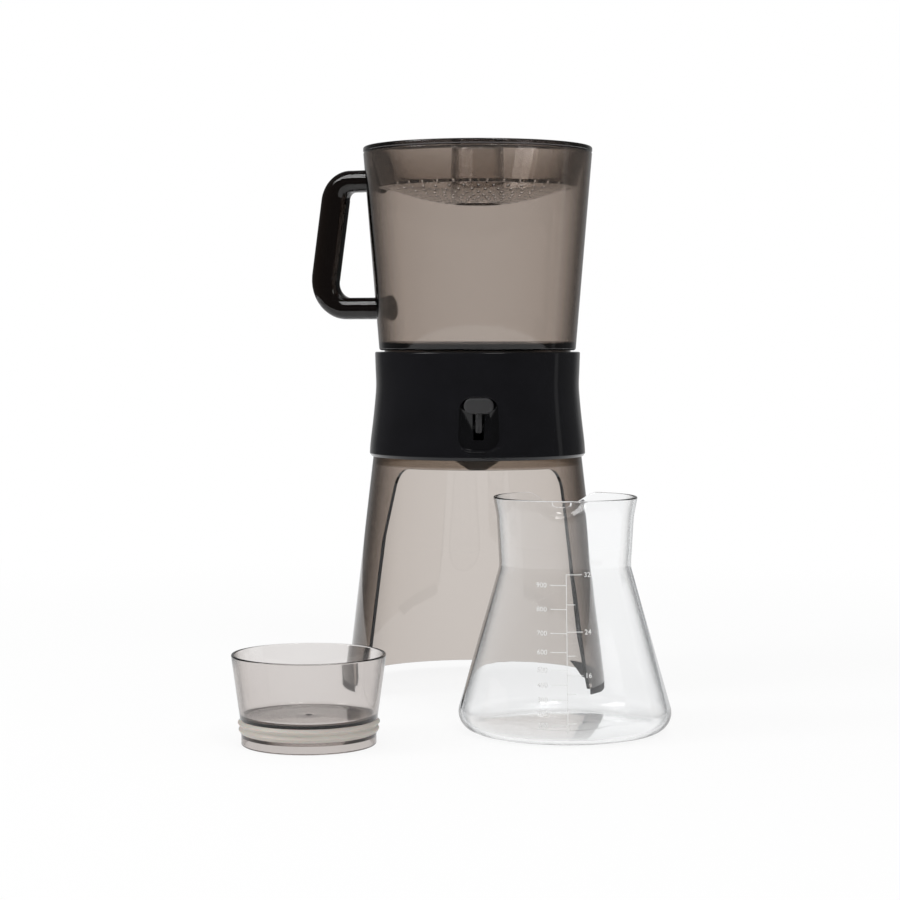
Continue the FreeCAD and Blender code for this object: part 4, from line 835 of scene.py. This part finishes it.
class COFFEE_OT_handle(Operator):
    """Models the handle bar and its two bosses"""

    bl_idname = "coffee_maker.handle"
    bl_label = "Handle"

    def execute(self, context):
        sizes = context.scene.coffee_container
        top, foot = sizes.handle_top, sizes.handle_foot
        wall_top = container_radius(sizes, top)
        wall_foot = container_radius(sizes, foot)
        route = [Vector((x, 0, z)) for x, z in (
            (wall_top - 0.006, top), (sizes.top_reach, top),
            (sizes.foot_reach, foot), (wall_foot - 0.006, foot),
        )]
        stations = bar_stations(route, corners=(0.015, 0.020), steps=12)
        bpy.ops.mesh.primitive_plane_add(size=1, location=route[0], rotation=(0, math.pi / 2, 0))
        bar = made("handle")
        bar.scale = (sizes.handle_arm, sizes.handle_width, 1)
        apply_place(bar)
        edit(bar)
        bpy.ops.mesh.bevel(offset=sizes.handle_edge, segments=8, affect="VERTICES")
        growth = sizes.handle_leg - sizes.handle_arm
        for (here, before, thin), (there, after, thick) in zip(stations, stations[1:]):
            bpy.ops.mesh.extrude_region_move(TRANSFORM_OT_translate={"value": (0, 0, 0)})
            turn(-before, here, "Y")
            size = (sizes.handle_arm + growth * thick) / (sizes.handle_arm + growth * thin)
            bpy.ops.transform.resize(value=(1, 1, size), center_override=here)
            turn(after, here, "Y")
            bpy.ops.transform.translate(value=there - here)
        bpy.ops.mesh.select_all(action="SELECT")
        bpy.ops.mesh.remove_doubles(threshold=1e-6)
        bpy.ops.mesh.normals_make_consistent(inside=False)
        for wall, height in ((wall_top, top), (wall_foot, foot)):
            bpy.ops.object.mode_set(mode="OBJECT")
            bpy.ops.mesh.primitive_cylinder_add(
                vertices=72, radius=sizes.boss, depth=0.010, location=(wall - 0.001, 0, height),
                rotation=(0, math.pi / 2, 0),
            )
            boss = bpy.context.object
            apply_place(boss)
            edit(boss)
            pick(boss, "EDGE", lambda middle, part: min(v.co.x for v in part.verts) > wall + 0.0039)
            bpy.ops.mesh.bevel(offset=0.0012, segments=4, affect="EDGES")
            clear_selection()
            cut(bar, boss, "UNION")
        low, high = 0.2359, 0.396
        clear_selection()
        bpy.ops.mesh.primitive_cone_add(
            vertices=240, radius1=container_radius(sizes, low) + 0.00005, depth=high - low,
            radius2=container_radius(sizes, high) + 0.00005, location=(0, 0, (low + high) / 2),
        )
        cut(bar, bpy.context.object)
        bar.rotation_euler.z = math.pi - sizes.handle_turn
        bar.location = TOWER
        apply_place(bar)
        smooth(bar, 35)
        settle(bar, "container", "handle_smoke", "smoked_plastic", "container_handle")
        return {"FINISHED"}


class COFFEE_OT_valve(Operator):
    """Finishes the drain valve, its spring and the filter"""

    bl_idname = "coffee_maker.valve"
    bl_label = "Valve and filter"

    def execute(self, context):
        spring = finished_copy("valve_spring", "spring", 0, "bright_steel", "steel", "container")
        low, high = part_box("valve_spring")
        travel = next(j for j in frame["joints"] if j["name"] == "valve_slide")["range_m"][1]
        keep = 1 - travel / (high.z - low.z)
        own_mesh(spring)
        for node, finish in (
            ("valve_guide", "satin_black"), ("valve_plunger", "satin_black"), ("valve_clip", "bright_steel"),
            ("valve_seal", "grey_rubber"),
        ):
            paint(node, finish)
        finished_copy("filter_gasket", "gasket", 0, "grey_rubber", "grey_silicone", "filter")
        finished_copy("filter_frame", "filter_wheel", 0.0002, "bright_steel", "steel", "filter")
        finished_copy("filter_mesh", "filter_cloth", 0, "woven_steel", "steel", "filter")
        return {"FINISHED"}


# ---------- lid


class COFFEE_OT_lid(Operator):
    """Models the rain lid: flange, bowl, dished plate with drip holes, and knob"""

    bl_idname = "coffee_maker.lid"
    bl_label = "Lid"

    def execute(self, context):
        sizes = context.scene.coffee_lid
        seat = sizes.top - 0.004
        edge = sizes.dish_radius
        ball = (edge ** 2 + sizes.dish_rise ** 2) / (2 * sizes.dish_rise)
        centre_z = sizes.dish_low + ball

        def dish(radius, drop):
            return centre_z - math.sqrt((ball + drop) ** 2 - radius ** 2)

        def dish_run(start, end, drop, count):
            radii = [start + (end - start) * i / count for i in range(count + 1)]
            return [(radius, dish(radius, drop)) for radius in radii]

        knob_in = sizes.knob_radius - 0.002
        lid = turned("lid", rounded([
            (0, sizes.knob_top), (sizes.knob_radius - 0.001, sizes.knob_top, 0.0045),
            (sizes.knob_radius, dish(sizes.knob_radius, 0) + 0.0002, 0.0010),
            *dish_run(sizes.knob_radius + 0.0018, edge, 0, 14),
            (0.0744, seat - 0.002, 0.003), (0.0764, sizes.top, 0.001), (sizes.radius, sizes.top, 0.0012),
            (sizes.radius, sizes.top - 0.0034, 0.0008), (0.0804, sizes.top - 0.0034), (0.0804, seat),
            (0.0766, seat, 0.0006), (0.0704, 0.3512, 0.001), (0.0670, 0.3512, 0.0005),
            *dish_run(edge - 0.0006, knob_in + 0.0006, sizes.plate, 14),
            (knob_in, dish(knob_in, sizes.plate) + 0.0004),
            (knob_in - 0.001, sizes.knob_top - 0.002, 0.0025), (0, sizes.knob_top - 0.002),
        ], step=9.0), TOWER, 144)
        clear_selection()
        bpy.ops.mesh.primitive_cylinder_add(vertices=18, radius=sizes.hole, depth=0.03)
        drill = made("drill")
        edit(drill)
        spacing = 2 * math.pi / sizes.hole_count
        places = []
        for ring in range(sizes.hole_rings):
            for i in range(sizes.hole_count):
                places.append((sizes.hole_first + sizes.hole_pitch * ring, spacing * (i + 0.5 * (ring % 2))))
        steps = [TOWER + Vector((r * math.cos(a), r * math.sin(a), 0.350)) for r, a in places]
        bpy.ops.transform.translate(value=steps[0])
        for here, there in zip(steps, steps[1:]):
            bpy.ops.mesh.duplicate_move(TRANSFORM_OT_translate={"value": there - here})
        clear_selection()
        cut(lid, drill)
        smooth(lid)
        settle(lid, "lid", "lid_smoke", "smoked_plastic", "lid_rim", "lid_rain_plate", "lid_knob")
        return {"FINISHED"}


# ---------- carafe and stopper


class COFFEE_OT_carafe(Operator):
    """Models the glass carafe with its pouring lip"""

    bl_idname = "coffee_maker.carafe"
    bl_label = "Carafe"

    def execute(self, context):
        sizes = context.scene.coffee_carafe
        wall = sizes.wall
        glass = turned("carafe", rounded([
            (0, 0.0006), (0.030, 0.0005, 0.05), (0.056, 0.0, 0.03), (sizes.bottom, 0, 0.0117),
            (sizes.neck, sizes.neck_height, 0.018), (sizes.flare, sizes.flare_height, 0.020),
            (sizes.rim, sizes.height, 0.0008), (sizes.rim - wall, sizes.height, 0.0008),
            (sizes.flare - wall, sizes.flare_height, 0.020),
            (sizes.neck - wall * 1.04, sizes.neck_height, 0.018), (sizes.bottom - 0.0025, 0.0022, 0.0099),
            (0.054, 0.0023, 0.03), (0.028, 0.0028, 0.05), (0, 0.0029),
        ], step=5.0, run=0.0022), CARAFE, 160)
        edit(glass)
        back = CARAFE + Vector((0, sizes.rim, sizes.height))
        near, under = 0.0035, back.z - 0.0012
        pick(glass, "VERT", lambda middle, part: (middle - back).length < near and middle.z > under)
        bpy.ops.transform.translate(
            value=(0, 0.0022, -sizes.dip), use_proportional_edit=True, proportional_edit_falloff="SMOOTH",
            proportional_size=0.022,
        )
        smooth(glass, 40)
        settle(glass, "carafe", "glass", "clear_glass", "carafe_glass")
        return {"FINISHED"}


class COFFEE_OT_scale(Operator):
    """Prints the carafe's scale: lines and plain numbers"""

    bl_idname = "coffee_maker.scale"
    bl_label = "Carafe scale"

    def execute(self, context):
        sizes = context.scene.coffee_carafe
        line = sizes.line
        stem = -0.0017
        left = {900: 0.0973, 800: 0.0828, 700: 0.0684, 600: 0.0571, 500: 0.0466, 400: 0.0377, 300: 0.0289,
                200: 0.0209, 100: 0.0137}
        right = {32: 0.1037, 28: 0.0856, 24: 0.0693, 20: 0.0550, 16: 0.0434, 12: 0.0324, 8: 0.0232, 4: 0.0151}
        bars = [(stem, stem + line, 0.0092, right[32] + line / 2)]
        bars += [(stem - 0.0098, stem, z - line / 2, z + line / 2) for z in left.values()]
        for value, z in right.items():
            reach = 0.0097 if value in (32, 24, 16) else 0.0052
            bars.append((stem, stem + line + reach, z - line / 2, z + line / 2))
        front = CARAFE.y - 0.078
        printed = []
        for x_from, x_to, z_from, z_to in bars:
            bpy.ops.mesh.primitive_plane_add(
                size=1, rotation=(math.pi / 2, 0, 0),
                location=(CARAFE.x + (x_from + x_to) / 2, front, (z_from + z_to) / 2),
            )
            bar = bpy.context.object
            bar.scale = (x_to - x_from, z_to - z_from, 1)
            apply_place(bar)
            edit(bar)
            tall = z_to - z_from > x_to - x_from
            centre = CARAFE.x + (x_from + x_to) / 2
            pick(bar, "EDGE", lambda middle, part: (abs(middle.x - centre) > 1e-5) == tall)
            bpy.ops.mesh.subdivide(number_cuts=70 if tall else 9)
            clear_selection()
            printed.append(bar)
        labels = [(str(value), stem - 0.0118, left[value], "RIGHT") for value in left]
        labels += [(str(value), stem + 0.0112, right[value], "LEFT") for value in (32, 24, 16)]
        for text, x, z, side in labels:
            bpy.ops.object.text_add(
                location=(CARAFE.x + x, front, z - sizes.digit / 2), rotation=(math.pi / 2, 0, 0)
            )
            label = bpy.context.object.data
            label.body, label.align_x, label.size = text, side, sizes.digit / 0.7
            label.resolution_u, label.offset = 3, 0.00004
            bpy.ops.object.convert(target="MESH")
            apply_place(bpy.context.object)
            printed.append(bpy.context.object)
        clear_selection()
        for part in printed:
            part.select_set(True)
        bpy.context.view_layer.objects.active = printed[0]
        bpy.ops.object.join()
        scale = made("carafe_scale")
        modify(
            scale, "SHRINKWRAP", target=bpy.data.objects["carafe"], wrap_method="PROJECT", offset=0.00006,
            use_project_y=True, use_positive_direction=True, use_negative_direction=False,
        )
        modify(scale, "SOLIDIFY", thickness=0.00004, offset=1.0)
        settle(scale, "carafe", "scale_print", None)
        return {"FINISHED"}


class COFFEE_OT_stopper(Operator):
    """Models the stopper cup and its ribbed seal"""

    bl_idname = "coffee_maker.stopper"
    bl_label = "Stopper cup"

    def execute(self, context):
        sizes = context.scene.coffee_stopper
        wall = sizes.wall
        cup = turned("stopper_cup", rounded([
            (0, 0.0181), (0.0014, 0.0181, 0.0003), (0.0022, 0.0176, 0.0003), (0.0406, 0.0176, 0.0025),
            (sizes.rim - wall, sizes.height, 0.0009), (sizes.rim, sizes.height, 0.0009),
            (0.0425, 0.0158, 0.0004), (0.0398, 0.0158), (0.0398, 0.0074), (0.0418, 0.0074, 0.0003),
            (0.0418, 0.0, 0.0008), (0.0394, 0.0, 0.0008), (0.0394, 0.0049), (0.0374, 0.0069, 0.0005),
            (0.0374, 0.0156, 0.0008), (0, 0.0156),
        ], run=0.01), STOPPER, 144)
        settle(cup, "stopper", "pale", "pale_smoke", "stopper_cup")
        seal = turned("stopper_seal_ring", rounded([
            (0.03987, 0.0075), (0.0422, 0.0075, 0.0003), (0.0435, 0.0095, 0.0006),
            (0.0422, 0.0116, 0.0006), (0.0441, 0.0137, 0.0006), (0.0422, 0.0157, 0.0003),
            (0.03987, 0.0157),
        ], closed=True), STOPPER, 144, closed=True)
        settle(seal, "stopper", "milky_rubber", "white_silicone", "stopper_seal")
        return {"FINISHED"}


# ---------- stage


def area_lamp(name, power, size, azimuth, elevation, distance, aim):
    """A soft lamp placed round a point, azimuth 0 in front and 90 to the right."""
    light = bpy.data.lights.new(name, "AREA")
    light.shape = "RECTANGLE"
    light.size, light.size_y = size
    light.energy = power
    lamp = bpy.data.objects.new(name, light)
    bpy.context.scene.collection.objects.link(lamp)
    a, e = math.radians(azimuth), math.radians(elevation)
    away = Vector((math.sin(a) * math.cos(e), -math.cos(a) * math.cos(e), math.sin(e)))
    lamp.location = aim + away * distance
    lamp.rotation_euler = away.to_track_quat("Z", "Y").to_euler()
    lamp.visible_camera = False


class COFFEE_OT_stage(Operator):
    """Sets the pale floor, soft lamps, room light and camera"""

    bl_idname = "coffee_maker.stage"
    bl_label = "Stage"

    def execute(self, context):
        stage = context.scene.coffee_stage
        clear_selection()
        bpy.ops.mesh.primitive_circle_add(vertices=96, radius=stage.floor, fill_type="TRIFAN")
        floor = made("floor")
        recipe, place = new_finish("pale_floor")
        path = recipe.node("ShaderNodeLightPath")
        far = recipe.node("ShaderNodeVectorMath", {0: place}, operation="LENGTH")["Value"]
        fade = recipe.step(far, 0.3, 1.1, stage.shadow, 0.0)
        grain = recipe.noise(place, 30.0, 3.0)
        tone = recipe.blend(grain, (0.93, 0.93, 0.93), (0.95, 0.95, 0.95))
        matt = recipe.plastic({"Base Color": tone, "Roughness": 0.8})
        white = recipe.node("ShaderNodeEmission", {"Color": (1, 1, 1, 1), "Strength": 1.0})[0]
        seen = path["Is Camera Ray"] | path["Is Glossy Ray"] | path["Is Transmission Ray"]
        surface = recipe.node("ShaderNodeMixShader", {0: seen * (1 - fade), 1: matt, 2: white})[0]
        close_finish(recipe, surface)
        floor.data.materials.append(bpy.data.materials["pale_floor"])

        world = bpy.data.worlds.new("studio")
        context.scene.world = world
        world.use_nodes = True
        room = Recipe(world.node_tree)
        path = room.node("ShaderNodeLightPath")
        around = room.node("ShaderNodeTexCoord")["Generated"]
        shine = room.step(room.axis(around, "Y"), 0.7, 0.99, stage.glow_front, stage.glow_back)
        height = room.axis(around, "Z")
        open_air = room.step(height, 0.55, 0.20) + room.step(height, 0.70, 0.85)
        through = open_air * (1 - stage.ceiling) + stage.ceiling
        mirrored, passed, seen = path["Is Glossy Ray"], path["Is Transmission Ray"], path["Is Camera Ray"]
        strength = mirrored * shine + (1 - mirrored) * stage.ambient
        strength = passed * through + (1 - passed) * strength
        strength = seen + (1 - seen) * strength
        light = room.node("ShaderNodeBackground", {"Color": (1, 1, 1, 1), "Strength": strength})[0]
        room.node("ShaderNodeOutputWorld", {"Surface": light})

        aim = Vector((0, 0, 0.2))
        for name, power, size, azimuth, elevation, distance in (
            ("window_left", 7.0, (0.5, 0.9), -72, 38, 1.5),
            ("window_right", 5.0, (0.5, 0.5), 24, 50, 1.6),
            ("strip_right", 0.1, (0.15, 1.0), 100, 10, 1.5), ("top", 4.0, (1.2, 0.8), 180, 80, 1.5),
        ):
            area_lamp(name, power, size, azimuth, elevation, distance, aim)

        camera = bpy.data.cameras.new("camera")
        camera.lens = stage.lens
        camera.sensor_width = 36.0
        eye = bpy.data.objects.new("camera", camera)
        context.scene.collection.objects.link(eye)
        eye.location = (TOWER.x - stage.left, TOWER.y - stage.away, stage.height)
        eye.rotation_euler = (math.pi / 2 - stage.pitch, 0, 0)
        context.scene.camera = eye
        context.scene.view_settings.view_transform = "Standard"
        context.scene.cycles.max_bounces = 32
        context.scene.cycles.transmission_bounces = 32
        context.scene.cycles.glossy_bounces = 8
        return {"FINISHED"}


# ---------- panel and register

STEPS = (
    COFFEE_OT_finishes, COFFEE_OT_skirt, COFFEE_OT_collar, COFFEE_OT_stand_parts, COFFEE_OT_lever,
    COFFEE_OT_container, COFFEE_OT_handle, COFFEE_OT_valve, COFFEE_OT_lid, COFFEE_OT_carafe,
    COFFEE_OT_scale, COFFEE_OT_stopper, COFFEE_OT_stage,
)
GROUPS = {
    "coffee_stand": StandSizes,
    "coffee_container": ContainerSizes,
    "coffee_lid": LidSizes,
    "coffee_carafe": CarafeSizes,
    "coffee_stopper": StopperSizes,
    "coffee_finishes": Finishes,
    "coffee_stage": StageSettings,
}


class COFFEE_PT_maker(Panel):
    """Lists the coffee maker's steps and sizes"""

    bl_idname = "COFFEE_PT_maker"
    bl_label = "Cold brew coffee maker"
    bl_space_type = "VIEW_3D"
    bl_region_type = "UI"
    bl_category = "Coffee maker"

    def draw(self, context):
        for step in STEPS:
            self.layout.operator(step.bl_idname)
        for group, kind in GROUPS.items():
            box = self.layout.box()
            box.label(text=kind.__name__)
            for key in kind.__annotations__:
                box.prop(getattr(context.scene, group), key)


def register():
    for kind in (*GROUPS.values(), *STEPS, COFFEE_PT_maker):
        bpy.utils.register_class(kind)
    for group, kind in GROUPS.items():
        setattr(bpy.types.Scene, group, PointerProperty(type=kind))


def unregister():
    for group in GROUPS:
        delattr(bpy.types.Scene, group)
    for kind in reversed((*GROUPS.values(), *STEPS, COFFEE_PT_maker)):
        bpy.utils.unregister_class(kind)


def main():
    register()
    for step in STEPS:
        clear_selection()
        group, name = step.bl_idname.split(".")
        getattr(getattr(bpy.ops, group), name)()
    clear_selection()


if __name__ == "__main__":
    main()
